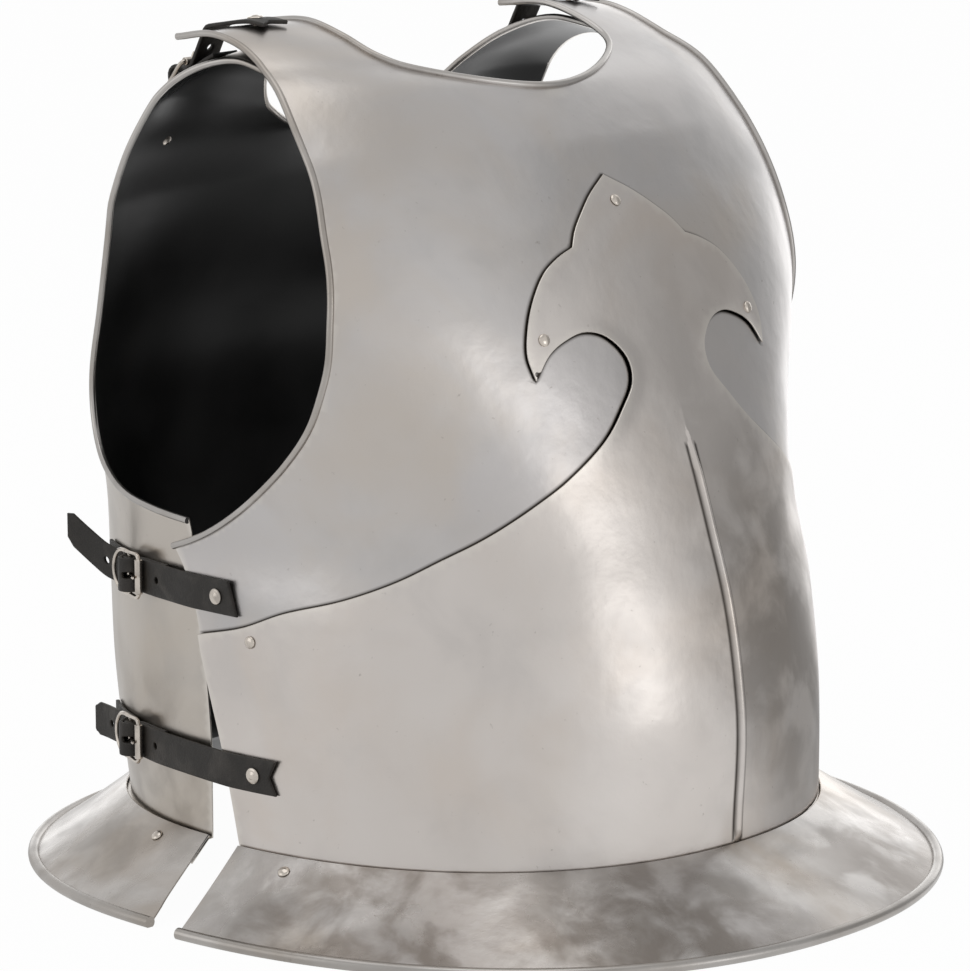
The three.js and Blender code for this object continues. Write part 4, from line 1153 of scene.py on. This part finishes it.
# %% Breastplate
sheet = body_sheet(FRONT, BREAST_FOOT, beside_seam(), off_seam)
points, triangles, arms, necks = with_bands(FRONT, sheet)
parts = [plate(points, triangles), *rolled_edges(points, triangles, arms, necks)]
count = len(parts[0][0])
# Painted shadow: a dark line on the breastplate along the plackart's edge, fading out within about
# two millimetres.
painted_shade = 1 - smooth_step(from_seam(sheet[2]["flat"]), *SHADOW_LINE_EDGE)
make_piece("breastplate_steel", parts, [STEEL, BLACK, RIM], "front_half", ["breastplate"],
           marks={"painted_shade": np.r_[painted_shade, np.zeros(count - len(painted_shade))],
                                 "worn": rubbed(points, triangles, count)})

# %% [markdown]
# ## Backplate
# The backplate is the same kind of sheet, turned to the back, and it ends below in a
# narrow flange that stands out under the skirt and carries the skirt's rivets.

# %% Backplate
FLANGE_STEPS = (1.0, 0.5, 0.0)


def with_flange(shell, points, triangles, bottom, outer):
    """Adds the flange rows under a body's bottom row."""
    shares = np.linspace(-1, 1, len(bottom))
    drop = FLANGE_DROP * (outer + PLATE + REST)
    made = [skirt_point(shell, step * FLANGE / shell["flare"], shares, drop)
            for step in FLANGE_STEPS]
    grid = np.vstack([new_rows(len(points), len(made), len(bottom)), bottom])
    return (np.vstack([points, *made]),
            np.vstack([triangles, quads(grid, shell["facing"] > 0)]))


points, triangles, rows = body_sheet(BACK, BACK["side"][0][0])
points, triangles, arms, necks = with_bands(BACK, (points, triangles[:, ::-1], rows))
points, triangles = with_flange(BACK, points, triangles, rows["bottom"], 0)
parts = [plate(points, triangles), *rolled_edges(points, triangles, arms, necks)]
make_piece("backplate_steel", parts, [BACK_STEEL, BLACK, RIM], "back_half", ["backplate"],
           marks={"worn": rubbed(points, triangles, len(parts[0][0]))})

# %% [markdown]
# ## Plackart
# The plackart is the belly's second layer. Its top edge rises round the flanks and
# ends in a head with two hooked lobes and a pointed peak. A keel runs up its middle:
# a hammered bead on a slight ridge, drawn to a point below the head. The keel is too
# narrow for the pattern's even points, so it gets rows of its own.

# %% Keel
KEEL_ROWS = np.array([0, 0.7, 1.4, 2.0, 2.5, 2.9, 3.6, 5.0])
KEEL_STEP, KEEL_CLEAR, KEEL_MARGIN = 3.0, 7.5, (4, 12)
KEEL_TAPER, KEEL_BLUNT, KEEL_THIN, KEEL_RISE = 26, 0.7, 0.2, (-2, 1)
RIDGE_HEIGHT, RIDGE_WIDTH, RIDGE_START, RIDGE_END = 2.2, 18.0, (8, 60), (-30, 60)
KEEL_LOW, KEEL_HIGH = KEEL_FOOT * HEIGHT, KEEL_TOP * HEIGHT


def keel_extra():
    """Flat points in rows along the keel."""
    z = np.arange(KEEL_LOW - KEEL_MARGIN[0], KEEL_HIGH + KEEL_MARGIN[1], KEEL_STEP)
    x = np.r_[-KEEL_ROWS[:0:-1], KEEL_ROWS]
    return np.array([(a, b) for b in z for a in x])


def off_keel(grid):
    """Which even points stay clear of the keel's rows."""
    low, high = KEEL_LOW - KEEL_MARGIN[0] - 2, KEEL_HIGH + KEEL_MARGIN[1] + 2
    return (abs(grid[:, 0]) > KEEL_CLEAR) | (grid[:, 1] < low) | (grid[:, 1] > high)


def keel_lift(flat):
    """How far the keel and its ridge stand out of the plackart."""
    x, z = flat.T
    taper = np.clip((KEEL_HIGH - z) / KEEL_TAPER, 0.0, 1) ** KEEL_BLUNT
    across = 1 - (x / (KEEL_WIDTH / 2 * np.maximum(taper, KEEL_THIN))) ** 2
    keel = smooth_step(z, KEEL_LOW + KEEL_RISE[0], KEEL_LOW + KEEL_RISE[1])
    keel = keel * taper * np.sqrt(np.clip(across, 0, 1))
    ridge = np.exp(-abs(x) / RIDGE_WIDTH)
    ridge *= smooth_step(z, KEEL_LOW + RIDGE_START[0], KEEL_LOW + RIDGE_START[1])
    ridge *= 1 - smooth_step(z, KEEL_HIGH + RIDGE_END[0], KEEL_HIGH + RIDGE_END[1])
    return KEEL_HEIGHT * keel + RIDGE_HEIGHT * ridge


print("keel stands out", keel_lift(np.array([[0.0, KEEL_LOW + 60]]))[0], "mm")

# %% Plackart's outline
HOLE_HEIGHT, HOLE_TURN, HOLE_RADIUS, HOLE_CLEAR = 0.626, math.radians(-23), 1.6, 1.3
CORNER_CLEAR = 4


def nicked(loop, centre, radius):
    """The outline with half a small round hole cut into it at the centre."""
    middles = (loop + np.roll(loop, -1, 0)) / 2
    at = int(np.argmin(np.linalg.norm(middles - centre, axis=1)))
    way = unit(loop[at + 1] - loop[at])
    turn = np.linspace(0, math.pi, 8)[:, None]
    arc = centre + radius * (np.sin(turn) * (-way[1], way[0]) - np.cos(turn) * way)
    clear = np.linalg.norm(loop - centre, axis=1) > radius * HOLE_CLEAR
    return np.vstack([loop[:at + 1][clear[:at + 1]], arc, loop[at + 1:][clear[at + 1:]]])


def plackart_loop():
    """The flat outline, and how many of its points are the bottom row."""
    top = SEAM_LINE[0, 1]
    rows = [row for row in FRONT_SIDE_SHARES if row[0] * HEIGHT < top - CORNER_CLEAR]
    side = [(b * FRONT_DEPTH, z * HEIGHT) for z, b in rows]
    side.append((along(FRONT_SIDE_SHARES, top / HEIGHT, 1) * FRONT_DEPTH, top))
    side = smooth_line(side, PATTERN_STEP)
    bottom = level_row(FRONT, rows[0][0], side[0, 0], FOOT_HALF)
    left = np.vstack([flatten(FRONT, side[:, 0], side[:, 1])[1:], SEAM_LINE[1:]])
    loop = np.vstack([bottom, left, (left * (-1, 1))[-2::-1]])
    hole = np.array([np.interp(HOLE_TURN, *chart(FRONT)), HOLE_HEIGHT * HEIGHT])
    return nicked(loop, hole, HOLE_RADIUS), len(bottom)


loop, bottom_count = plackart_loop()
print("plackart's outline has", len(loop), "points")

# %% Plackart
LIP_HEIGHT, LIP_WIDTH, LIP_REACH = 1.1, 9.0, (30.0, 75.0)
# Painted shade beside the keel: the line's distance from the middle, its darkness, its fade and
# how far below the keel's top it stops.
KEEL_FOOT_LINE, KEEL_SHADE, KEEL_SHADE_EDGE, KEEL_SHADE_END = 3.5, 0.9, (0.3, 1.4), 8


def lip_lift(flat):
    """How far the top edge stands off the breastplate, away from the hooked lobes."""
    head = SEAM_LINE[SEAM_LINE[:, 1] > HEAD_SHARES[HEAD_LOW][1] * HEIGHT]
    hook = head[np.argmin(head[:len(head) // 3, 0])]
    lip = LIP_HEIGHT * (1 - smooth_step(from_seam(flat), 0, LIP_WIDTH))
    from_hook = np.linalg.norm(abs(flat) - (abs(hook[0]), hook[1]), axis=1)
    return lip * (1 - smooth_step(from_hook, *LIP_REACH))


flat, triangles, place = fill_pattern([loop], PATTERN_STEP, keel_extra(), off_keel)
points, triangles = with_flange(FRONT, carry(FRONT, flat), triangles, place[:bottom_count],
                                REST + PLATE)
flange = np.zeros(len(points) - len(flat))
lift, lip = np.r_[keel_lift(flat), flange], np.r_[lip_lift(flat), flange]
shell = plate(points, triangles, REST + lip, REST + PLATE + lip + lift)
# Painted shade: dark lines in the creases on each side of the keel's foot, kept in the same mark
# as the breastplate's painted shadow.
beside_keel = abs(abs(flat[:, 0]) - KEEL_FOOT_LINE)
keel_shade = (1 - smooth_step(beside_keel, *KEEL_SHADE_EDGE)) * (flat[:, 1] < KEEL_HIGH - KEEL_SHADE_END) * KEEL_SHADE
make_piece("plackart_steel", [shell], [PLACKART_STEEL, BLACK], "front_half", ["plackart"],
           marks={"painted_shade": np.r_[keel_shade, np.zeros(len(shell[0]) - len(keel_shade))],
                                 "worn": rubbed(points, triangles, len(shell[0]))})

# %% [markdown]
# ## Skirts
# Each skirt flares out from the waist in one curved slope and ends in a thick rolled
# rim, a little flat where it stands on the ground. It sits outside the body plates
# and is riveted to their flanges.

# %% Skirts
SKIRT_ROWS, SKIRT_HALF, RIM_SIDES = 26, 100, 20


def skirt_piece(name, shell, body, node):
    """A skirt with its rolled rim."""
    shares = np.linspace(-1, 1, 2 * SKIRT_HALF + 1)
    rows = [skirt_point(shell, spread, shares) for spread in np.linspace(1, 0, SKIRT_ROWS)]
    grid = new_rows(0, SKIRT_ROWS, len(shares))
    parts = [plate(np.vstack(rows), quads(grid, shell["facing"] > 0)),
             (*bead(rows[0], RIM_ROLL, RIM, RIM_SIDES), RIM_SLOT)]
    for place, _, _ in parts:
        place[:, 2] = np.maximum(place[:, 2], 0)
    return make_piece(name, parts, [SKIRT_STEEL, BLACK, RIM], body, [node])


skirt_piece("front_skirt_steel", FRONT, "front_half", "front_skirt")
skirt_piece("rear_skirt_steel", BACK, "back_half", "rear_skirt")

# %% [markdown]
# ## Straps
# Each joint of the two halves is a pair of leathers: a short chape folded round the
# buckle's bar and riveted to the backplate, and a billet riveted to the front that
# passes through the buckle. Both follow the plates under them, so their middle lines
# are found by walking along the plates.

# %% Strap sizes
STRAP_WIDTH, HIDE = 20, 2.4
UPPER_HEIGHT, LOWER_HEIGHT = 0.362 * HEIGHT, 0.166 * HEIGHT
UPPER_START, LOWER_START, EDGE_MARGIN = -15, -48, 4
SHOULDER_OUT, SHOULDER_LEAD, SHOULDER_TILT = 0.66 * HALF_WIDTH, 44, 0.08
SIDE_LAY, SHOULDER_LAY, RIVET_INSET, NOTCH, SLANT = 0.2, 0.5, 16, 5, 7
CHAPE_LEAD, CHAPE_TAIL, TAIL_LENGTH, UPPER_RISE, UPPER_FLARE = 20, 30, 30, 20, 2.3
STRAP_HOLE, HOLE_SPACING = 2.0, 20
WIRE, ROLLER, BUCKLE, RAIL, BAR_BACK = 1.25, 2.3, 34, 12.25, 12
ROLLER_GAP, PRONG, EYE, EYE_WIDTH, SLOT, PRONG_GAP = 0.8, 1.1, 2.7, 3, 0.5, 0.45
ROLLER_BEHIND, ROUTE_LEAD = 70, 25
FRAME_SHARES = [
    [0, 0.86], [0.04, 1], [0.35, 1], [0.66, 1], [0.82, 0.86], [0.94, 0.55], [1, 0.2],
]
CHAPE_LOOP_SHARES = [
    [-1.35, -1.75], [-1.06, -0.9], [-1, 0], [-0.71, 0.71], [0, 1],
    [0.71, 0.71], [1, 0], [1.06, -0.9], [1.35, -1.75],
]
BILLET_ARCH_SHARES = [
    [-1.3, -0.62], [-0.94, 0.5], [-0.53, 0.92], [0, 1.06], [0.53, 0.92], [0.92, 0.55],
    [1.5, -0.05], [2.3, -0.5],
]
TAIL_SHARES = [(0.3, 0.1), (0.65, 0.25), (1, 0.5)]
SPARE_HOLES = (-1.25, 1.75)
SPACING = REST + HIDE
LOOP = WIRE + REST + HIDE / 2
ARCH = LOOP + SPACING
UP = np.array([0.0, 0.0, 1.0])
print("a billet's arch has a radius of", ARCH, "mm")

# %% Walking along a plate
WALK_STEP, ARM_ROWS, ROW_POINTS = 0.5, 4, 11


def flank_point(shell, z, behind, side, lift=0.0):
    """The furthest out a half reaches across a strap's width."""
    heights = (z + np.array([-1, 0, 1]) * STRAP_WIDTH / 2) / HEIGHT
    angles = angle_of(shell, hoop(shell, heights)[1], behind)
    reach = body_point(shell, heights, angles)[:, 0].max()
    return np.array([side * (reach + lift), CENTRE_Y + behind, z])


def walk(line, distance, axis):
    """Place and outward direction at a distance along a line."""
    run = run_along(line)
    at = np.clip(distance, 0, run[-1])
    near = np.clip([at, at - WALK_STEP, at + WALK_STEP], 0, run[-1])
    place, before, after = places_at(line, run, near)
    return place, unit(np.cross(after - before, axis))


def half_rows(shell, side):
    """Rows from the middle to the arm edge: the top body rows, then the band's."""
    body = []
    for height, behind in shell["arm"][-ARM_ROWS:]:
        end = angle_of(shell, hoop(shell, height)[1], behind * shell["depth"])
        body.append(body_point(shell, height, side * end * np.linspace(0, 1, ROW_POINTS)))
    return body + [band_row(shell, body[-1], shares, side) for shares in shell["bands"]]


def crossing(row, out):
    """Where a row is a distance out from the middle."""
    i = int(np.argmax(abs(row[:, 0]) >= out))
    a, b = row[i - 1], row[i]
    return a + (b - a) * (out - abs(a[0])) / (abs(b[0]) - abs(a[0]))


def shoulder_line(rows, side):
    """The outermost line across a strap's width along one shoulder."""
    line = []
    for row in rows:
        middle = crossing(row, SHOULDER_OUT)
        rise = -np.inf
        for shift in (-STRAP_WIDTH / 2, 0, STRAP_WIDTH / 2):
            _, y, z = crossing(row, SHOULDER_OUT + shift) - middle
            rise = max(rise, (y + z + SHOULDER_TILT * shift) / 2)
        line.append((side * SHOULDER_OUT, middle[1] + rise, middle[2] + rise))
    return spline(line, 1.0)


print("walks take", WALK_STEP, "mm to each side")

# %% Where the straps lie
BREAST_ROWS, BACK_ROWS = slice(-5, None), slice(-3, -12, -1)
ROUTE_POINTS, LEAD_POINTS, ON_LEAD = 10, 5, (1, 0.75, 0.5, 0.25, 0.05)
LEAD_DROPS = np.array([(0, 1.6, -0.5), (0, 3.2, -3)])


def side_strap(side, z, start, base, inner):
    """Where a side strap lies."""
    edge = along(FRONT_SIDE_SHARES, z / HEIGHT, 1) * FRONT_DEPTH - EDGE_MARGIN
    reach = ROUTE_LEAD + BUCKLE + CHAPE_TAIL
    route = spline([flank_point(BACK, z, ROLLER_BEHIND - ROUTE_LEAD + far, side)
                    for far in np.linspace(0, reach, ROUTE_POINTS)], 1.0)
    ahead, seat, behind = (flank_point(FRONT, z, start + RIVET_INSET + step, side)
                           for step in (-EDGE_MARGIN, 0, EDGE_MARGIN))
    lead = [flank_point(FRONT, z, place, side, base + REST + HIDE / 2)
            for place in np.linspace(start, edge, LEAD_POINTS)]
    return dict(axis=UP * side, route=route, lay=SIDE_LAY, inner=inner, outer=base,
                seat=(seat, unit(np.cross(behind - ahead, UP) * side)), lead=lead,
                join=(-CHAPE_LEAD, -CHAPE_LEAD / 2))


def shoulder_strap(side):
    """Where a shoulder strap lies."""
    breast = shoulder_line(half_rows(FRONT, side)[BREAST_ROWS], side)
    route = shoulder_line(half_rows(BACK, side)[BACK_ROWS], side)
    tip = run_along(breast)[-1]
    axis = unit(np.array([-1, 0, side * SHOULDER_TILT]))
    lead = []
    for share in (*ON_LEAD, 0):
        place, normal = walk(breast, tip - share * SHOULDER_LEAD, axis)
        lead.append(place + normal * (SHOULDER_LAY + REST + HIDE / 2))
    lead[-1:] = lead[-1] + HIDE * LEAD_DROPS
    return dict(axis=axis, route=route, lay=SHOULDER_LAY, inner=-PLATE - 2 * SHOULDER_LAY,
                outer=0, seat=walk(breast, tip - SHOULDER_LEAD + RIVET_INSET, axis), lead=lead,
                join=())


PLAIN_END = dict(notch=NOTCH, slant=0, rise=0, flare=1)
STRAPS = {}
for name, side in (("right", -1), ("left", 1)):
    STRAPS[name + "_upper_side"] = dict(
        side_strap(side, UPPER_HEIGHT, UPPER_START, 0, -PLATE), notch=0,
        slant=side * SLANT, rise=UPPER_RISE, flare=UPPER_FLARE)
    STRAPS[name + "_lower_side"] = dict(
        side_strap(side, LOWER_HEIGHT, LOWER_START, REST + PLATE, REST), **PLAIN_END)
    STRAPS[name + "_shoulder"] = dict(shoulder_strap(side), **PLAIN_END)
print(len(STRAPS), "straps:", ", ".join(STRAPS))

# %% [markdown]
# ## Leather strips
# A strip is cut flat, with its end shape and its holes, and then bent along its
# middle line. The flat pattern filler used for the plates does this too. The skins
# of the shell stand half the hide's thickness to each side, and the edge profile is
# rounded, as a cut and burnished strap is.

# %% Strip maker
HIDE_STEP, LINE_STEP, CLIP_SLOPE, HOLE_SIDES = 2.2, 0.8, 0.6, 16


def strip_outline(length, notch, slant, clip):
    """Flat outline of a strap from its riveted end to its clipped one."""
    half, drop = STRAP_WIDTH / 2, clip * CLIP_SLOPE
    corners = [(max(-slant, 0), -half), (length - clip, -half), (length, -half + drop),
               (length, half - drop), (length - clip, half), (max(slant, 0), half),
               (notch + abs(slant) / 2, 0)]
    corners = np.array(corners + corners[:1], float)
    sides = [evenly(corners[k:k + 2], HIDE_STEP)[1:] for k in range(len(corners) - 1)
             if (corners[k] != corners[k + 1]).any()]
    return np.vstack([corners[:1], *sides])[:-1]


def strip_piece(name, line, axis, holes, notch, slant, body, node, clip=0.0):
    """A leather strip along a middle line; holes are (distance, radius, half length)."""
    line = spline(line, LINE_STEP)
    run = run_along(line)
    loops = [strip_outline(run[-1], notch, slant, clip)]
    for distance, radius, long in holes:
        turn = np.linspace(0, 2 * math.pi, HOLE_SIDES, endpoint=False)
        place = np.stack([np.cos(turn), np.sin(turn)], -1) * radius
        place[:, 0] += np.sign(np.round(place[:, 0], 6)) * long
        loops.append(place + (distance, 0))
    flat, triangles, _ = fill_pattern(loops, HIDE_STEP)
    points = places_at(line, run, flat[:, 0]) + flat[:, 1:2] * axis
    made, faces, _ = close_shell(points, triangles, -HIDE / 2, HIDE / 2, HIDE_EDGE)
    return make_piece(name, [(made, faces, 0)], [LEATHER], body, [node], 50)


print("strips have points every", HIDE_STEP, "mm")

# %% Chapes and billets
SLOT_LENGTH, PRONG_SLOT, PRONG_HOLE = 2.6, 1.6, PRONG + SLOT + 0.3
ARCH_HOLE, BILLET_CLIP = (-0.75, 0.7), 5.0
LEAD_STEPS, FRAME_STEPS, TAIL_STEPS = (-1, -0.5, 0), (0.62, 0.8, 1), (0.35, 0.7, 1)
BILLET_STEPS, BLEND_END = (0.85, 1), -2


def bar_frame(name, place):
    """Roller centre, bar centre and the buckle's directions, from its joints."""
    roller, bar = (np.array(joints[name + end]["pos_m"]) / MM
                   for end in ("_roller_turn", "_prong_lift"))
    rearward = unit(bar - roller)
    out = unit(np.cross(rearward, place["axis"]))
    return roller, bar, rearward, np.cross(out, rearward), out


def nearest(line, point):
    """Distance along a line of its point nearest to another."""
    dense = spline(line, LINE_STEP)
    return run_along(dense)[np.argmin(np.linalg.norm(dense - point, axis=1))]


def strap_pieces(name, place):
    """The chape and the billet of one strap."""
    _, bar, rearward, axis, out = bar_frame(name, place)
    on_plate = place["lay"] + REST + HIDE / 2
    on_chape = on_plate + SPACING

    def lay(distance, lift):
        spot, normal = walk(place["route"], ROUTE_LEAD + distance, place["axis"])
        return spot + normal * lift

    def round_bar(shares, radius):
        return [bar + rearward * x * radius + out * z * radius for x, z in shares]

    chape = ([lay(k * CHAPE_LEAD, on_plate) for k in LEAD_STEPS]
             + round_bar(CHAPE_LOOP_SHARES, LOOP)
             + [lay(k * BUCKLE, on_plate) for k in FRAME_STEPS]
             + [lay(BUCKLE + k * CHAPE_TAIL, on_plate) for k in TAIL_STEPS])
    tail = [lay(BUCKLE + run * TAIL_LENGTH, on_chape + lift * place["flare"] * STRAP_WIDTH)
            + UP * place["rise"] * run**2 for run, lift in TAIL_SHARES]
    billet = (place["lead"] + [lay(d, on_chape) for d in (*place["join"], 0)]
              + round_bar(BILLET_ARCH_SHARES, ARCH)
              + [lay(k * BUCKLE, on_chape) for k in BILLET_STEPS] + tail)
    slot = (nearest(chape, bar + out * LOOP - rearward), EYE_WIDTH / 2 + SLOT, SLOT_LENGTH)
    strip_piece(name + "_chape_leather", chape, axis, [slot], 0, 0, "back_half",
                name + "_chape")
    holes = [(nearest(billet, lay(BAR_BACK + k * HOLE_SPACING, on_chape)), STRAP_HOLE, 0)
             for k in SPARE_HOLES]
    holes.append((nearest(billet, round_bar([ARCH_HOLE], ARCH)[0]), PRONG_HOLE, PRONG_SLOT))
    piece = strip_piece(name + "_billet_leather", billet, axis, holes, place["notch"],
                        place["slant"], None, name + "_billet", clip=BILLET_CLIP)
    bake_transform(piece)


for name, place in STRAPS.items():
    strap_pieces(name, place)

# %% [markdown]
# ## Buckles
# Each buckle is nickelled wire bent to a long D, with a second wire across it as the
# bar, a tube that rolls on the front wire, and a prong with an eye round the bar. The
# wires follow a path, so they use the bead tree. The roller and the eye are shapes
# turned round a line, so a few profile points are spun round it.

# %% Turned shapes
# The pin's profile is in shares of its radius and its length.
CHAMFER, WIRE_STEP, WIRE_SIDES, ROLLER_SIDES, EYE_SIDES = 0.3, 1.2, 12, 28, 20
BAR_STEPS = (-1, -0.4, 0.4, 1)
PRONG_PROFILE = [(0, 0), (1, 0), (1, 0.5), (0.9, 0.8), (0.72, 0.95), (0.5, 0.99), (0, 1)]


def turned(profile, origin, axis, sides):
    """A closed shape from (radius, distance along the axis) points spun round it."""
    axis = unit(axis)
    first = unit(np.cross(axis, UP if abs(axis[2]) < 0.9 else (1.0, 0.0, 0.0)))
    turn = np.linspace(0, 2 * math.pi, sides, endpoint=False)
    around = np.cos(turn)[:, None] * first + np.sin(turn)[:, None] * np.cross(axis, first)
    points, rings = [], []
    for radius, far in profile:
        count = 1 if radius == 0 else sides
        rings.append(len(points) + np.arange(sides) % count)
        points += list(origin + axis * far + around[:count] * radius)
    faces = []
    for a, b in zip(rings, rings[1:] + rings[:1]):
        for i in range(sides):
            j = (i + 1) % sides
            faces += [triangle for triangle in ((a[i], a[j], b[j]), (a[i], b[j], b[i]))
                      if len(set(triangle)) == 3]
    points, faces = np.array(points), np.array(faces)
    return points, outward(points, faces)


def tube(inner, outer, half, origin, axis, sides):
    """A short tube with its outer corners cut at a slant."""
    profile = [(inner, -half), (outer - CHAMFER, -half), (outer, -half + CHAMFER),
               (outer, half - CHAMFER), (outer - CHAMFER, half), (inner, half)]
    return turned(profile, origin, axis, sides)


def prong_bar(start, end):
    """A pin that thins towards its blunt end."""
    length = np.linalg.norm(end - start)
    profile = [(PRONG * radius, length * far) for radius, far in PRONG_PROFILE]
    return turned(profile, start, end - start, WIRE_SIDES)


def buckle_pieces(name, place):
    """Frame, roller and prong of one buckle, each on its own body."""
    roller, bar, rearward, axis, out = bar_frame(name, place)
    half = [(x * BUCKLE, y * RAIL) for x, y in FRAME_SHARES]
    loop = smooth_line(half + [(x, -y) for x, y in reversed(half)], WIRE_STEP)
    front_side = evenly(np.array([loop[-1], loop[0]]), WIRE_STEP)[1:-1]
    wire = roller + np.vstack([loop, front_side]) @ np.array([rearward, axis])
    ends = [bar + axis * RAIL * k for k in BAR_STEPS]
    parts = [(*bead(wire, WIRE, NICKEL, WIRE_SIDES, True), 0),
             (*bead(ends, WIRE, NICKEL, WIRE_SIDES), 0)]
    make_piece(name + "_frame_wire", parts, [NICKEL], name + "_frame",
               [name + "_buckle_frame"], 50)
    ring = tube(WIRE + REST, ROLLER, RAIL - WIRE - ROLLER_GAP, roller, axis, ROLLER_SIDES)
    make_piece(name + "_roller_tube", [(*ring, 0)], [NICKEL], name + "_wheel",
               [name + "_roller"], 35)
    rise = ROLLER + PRONG_GAP + PRONG
    angle = math.atan2(rise, BAR_BACK)
    way = -math.cos(angle) * rearward + math.sin(angle) * out
    reach = math.hypot(BAR_BACK, rise) + ROLLER
    parts = [(*tube(WIRE + REST, EYE, EYE_WIDTH / 2, bar, axis, EYE_SIDES), 0),
             (*prong_bar(bar + way * (WIRE + REST + EYE) / 2, bar + way * reach), 0)]
    make_piece(name + "_prong_pin", parts, [NICKEL], name + "_pin", [name + "_prong"],
               50)


for name, place in STRAPS.items():
    buckle_pieces(name, place)

# %% [markdown]
# ## Rivets, with Geometry Nodes
# Rivets are one shape repeated in many places and directions. The tree puts a copy
# of one turned rivet at each point of a mesh and turns it to the direction stored
# there. It ends by making the copies real and giving them their finish.

# %% Rivet tree
# A crown is a share of the head's radius and a rise above the plate, in steps inward.
SHANK, TAIL, TAIL_HEIGHT, TAIL_SLACK, HEAD_HEIGHT = 1.8, 3.1, 0.8, 1.1, 1.6
HEAD_RIM, RIVET_SIDES, SEAT_STEP = 0.35, 28, 0.001
DISHED = [(0.9, 0.8), (0.72, 1.0), (0.55, 0.95), (0.42, 1.25), (0.25, 1.55)]
DOMED = [(0.93, 0.75), (0.78, 1.15), (0.5, 1.45), (0.25, 1.57)]

RIVETS, ask, end = tool_tree("rivets_on_points", {
    "Places": "Geometry", "Rivet": "Object", "Head scale": "Float", "Finish": "Material"},
    "Rivets")
shape = add_node(RIVETS, "GeometryNodeObjectInfo", {"Object": ask["Rivet"]})
facing = add_node(RIVETS, "GeometryNodeInputNamedAttribute", {"Name": "facing"},
                  data_type="FLOAT_VECTOR")
turn = add_node(RIVETS, "FunctionNodeAlignRotationToVector",
                {"Vector": facing.outputs["Attribute"]}, axis="Z")
copies = add_node(RIVETS, "GeometryNodeInstanceOnPoints", {
    "Points": ask["Places"], "Instance": shape.outputs["Geometry"],
    "Rotation": turn.outputs["Rotation"], "Scale": ask["Head scale"]})
feed(RIVETS, end, copies.outputs[0])
print("rivet tree:", RIVETS.name)

# %% Helpers for rivets


def rivet_shape(head, low, high, crown):
    """One rivet along Z: tail, shank and head, with its plate face at zero."""
    tail, rest = low - REST - TAIL_SLACK, high + REST
    profile = [(0, tail - TAIL_HEIGHT), (TAIL * 0.8, tail - TAIL_HEIGHT * 0.9),
               (TAIL, tail - TAIL_HEIGHT * 0.4), (TAIL, tail), (SHANK, tail), (SHANK, rest),
               (head, rest), (head, rest + HEAD_RIM)]
    profile += [(head * reach, rest + rise) for reach, rise in crown]
    points, faces = turned([*profile, (0, rest + HEAD_HEIGHT)], np.zeros(3), UP, RIVET_SIDES)
    mesh = bpy.data.meshes.new("rivet_shape")
    mesh.from_pydata((points * MM).tolist(), [], faces.tolist())
    return add_object("rivet_shape", mesh)


def rivet_piece(name, seats, head, low, high, crown, body, nodes):
    """Rivets of one kind on one body."""
    mesh = bpy.data.meshes.new("rivet_places")
    mesh.from_pydata([tuple(place * MM) for place, _ in seats], [], [])
    facing = mesh.attributes.new("facing", "FLOAT_VECTOR", "POINT")
    facing.data.foreach_set("vector", np.concatenate([way for _, way in seats]))
    shape = rivet_shape(head, low, high, crown)
    points, triangles = run_tree(RIVETS, mesh, {"Rivet": shape, "Head scale": 1.0,
                                                "Finish": NICKEL})
    bpy.data.objects.remove(shape)
    make_piece(name, [(points, outward(points, triangles), 0)], [NICKEL], body, nodes,
               40)


def seat_on(surface, shell, u, v):
    """Point and outward direction of a shell's surface at two numbers."""
    point = surface(shell, u, v)
    normal = unit(np.cross(surface(shell, u + SEAT_STEP, v) - point,
                           surface(shell, u, v + SEAT_STEP) - point))
    return point, normal * np.sign(normal @ (point - (0, CENTRE_Y, point[2])))


print("a rivet stands in", RIVET_SIDES, "sides")

# %% Rivets
PLATE_HEAD, STRAP_HEAD = 3.6, 4.6
TOP_RIVET, LOBE_RIVET, LOBE_TURN = 0.798, 0.662, math.radians(20)
END_RIVET, END_LEAD, SKIRT_RIVET = 0.316, 25, (0.16, 0.89)

end_turn = float(angle_of(FRONT, hoop(FRONT, END_RIVET)[1], -END_LEAD))
spots = {"top": (TOP_RIVET, 0.0), "right_lobe": (LOBE_RIVET, -LOBE_TURN),
         "left_lobe": (LOBE_RIVET, LOBE_TURN), "right_end": (END_RIVET, -end_turn),
         "left_end": (END_RIVET, end_turn)}
rivet_piece("plackart_rivets", [seat_on(body_point, FRONT, *spot) for spot in spots.values()],
            PLATE_HEAD, -PLATE, REST + PLATE, DOMED, "front_half",
            ["plackart_rivet_" + spot for spot in spots])
for where, shell, body in (("front", FRONT, "front_half"), ("rear", BACK, "back_half")):
    seats = [seat_on(skirt_point, shell, SKIRT_RIVET[0], side * SKIRT_RIVET[1])
             for side in (-1, 1)]
    rivet_piece(where + "_skirt_rivets", seats, PLATE_HEAD, -2 * (PLATE + REST), 0, DOMED, body,
                [f"{where}_skirt_rivet_{side}" for side in ("right", "left")])
for kind in ("upper_side", "lower_side", "shoulder"):
    names = ["right_" + kind, "left_" + kind]
    place = STRAPS[names[0]]
    through = place["lay"] + SPACING
    rivet_piece(kind + "_billet_rivets", [STRAPS[name]["seat"] for name in names], STRAP_HEAD,
                place["inner"], place["outer"] + through, DISHED, "front_half",
                [name + "_billet_rivet" for name in names])
    far = ROUTE_LEAD + BUCKLE + CHAPE_TAIL - RIVET_INSET / 2
    seats = [walk(STRAPS[name]["route"], far, STRAPS[name]["axis"]) for name in names]
    rivet_piece(kind + "_chape_rivets", seats, STRAP_HEAD, -PLATE - 2 * place["lay"], through,
                DISHED, "back_half", [name + "_chape_rivet" for name in names])
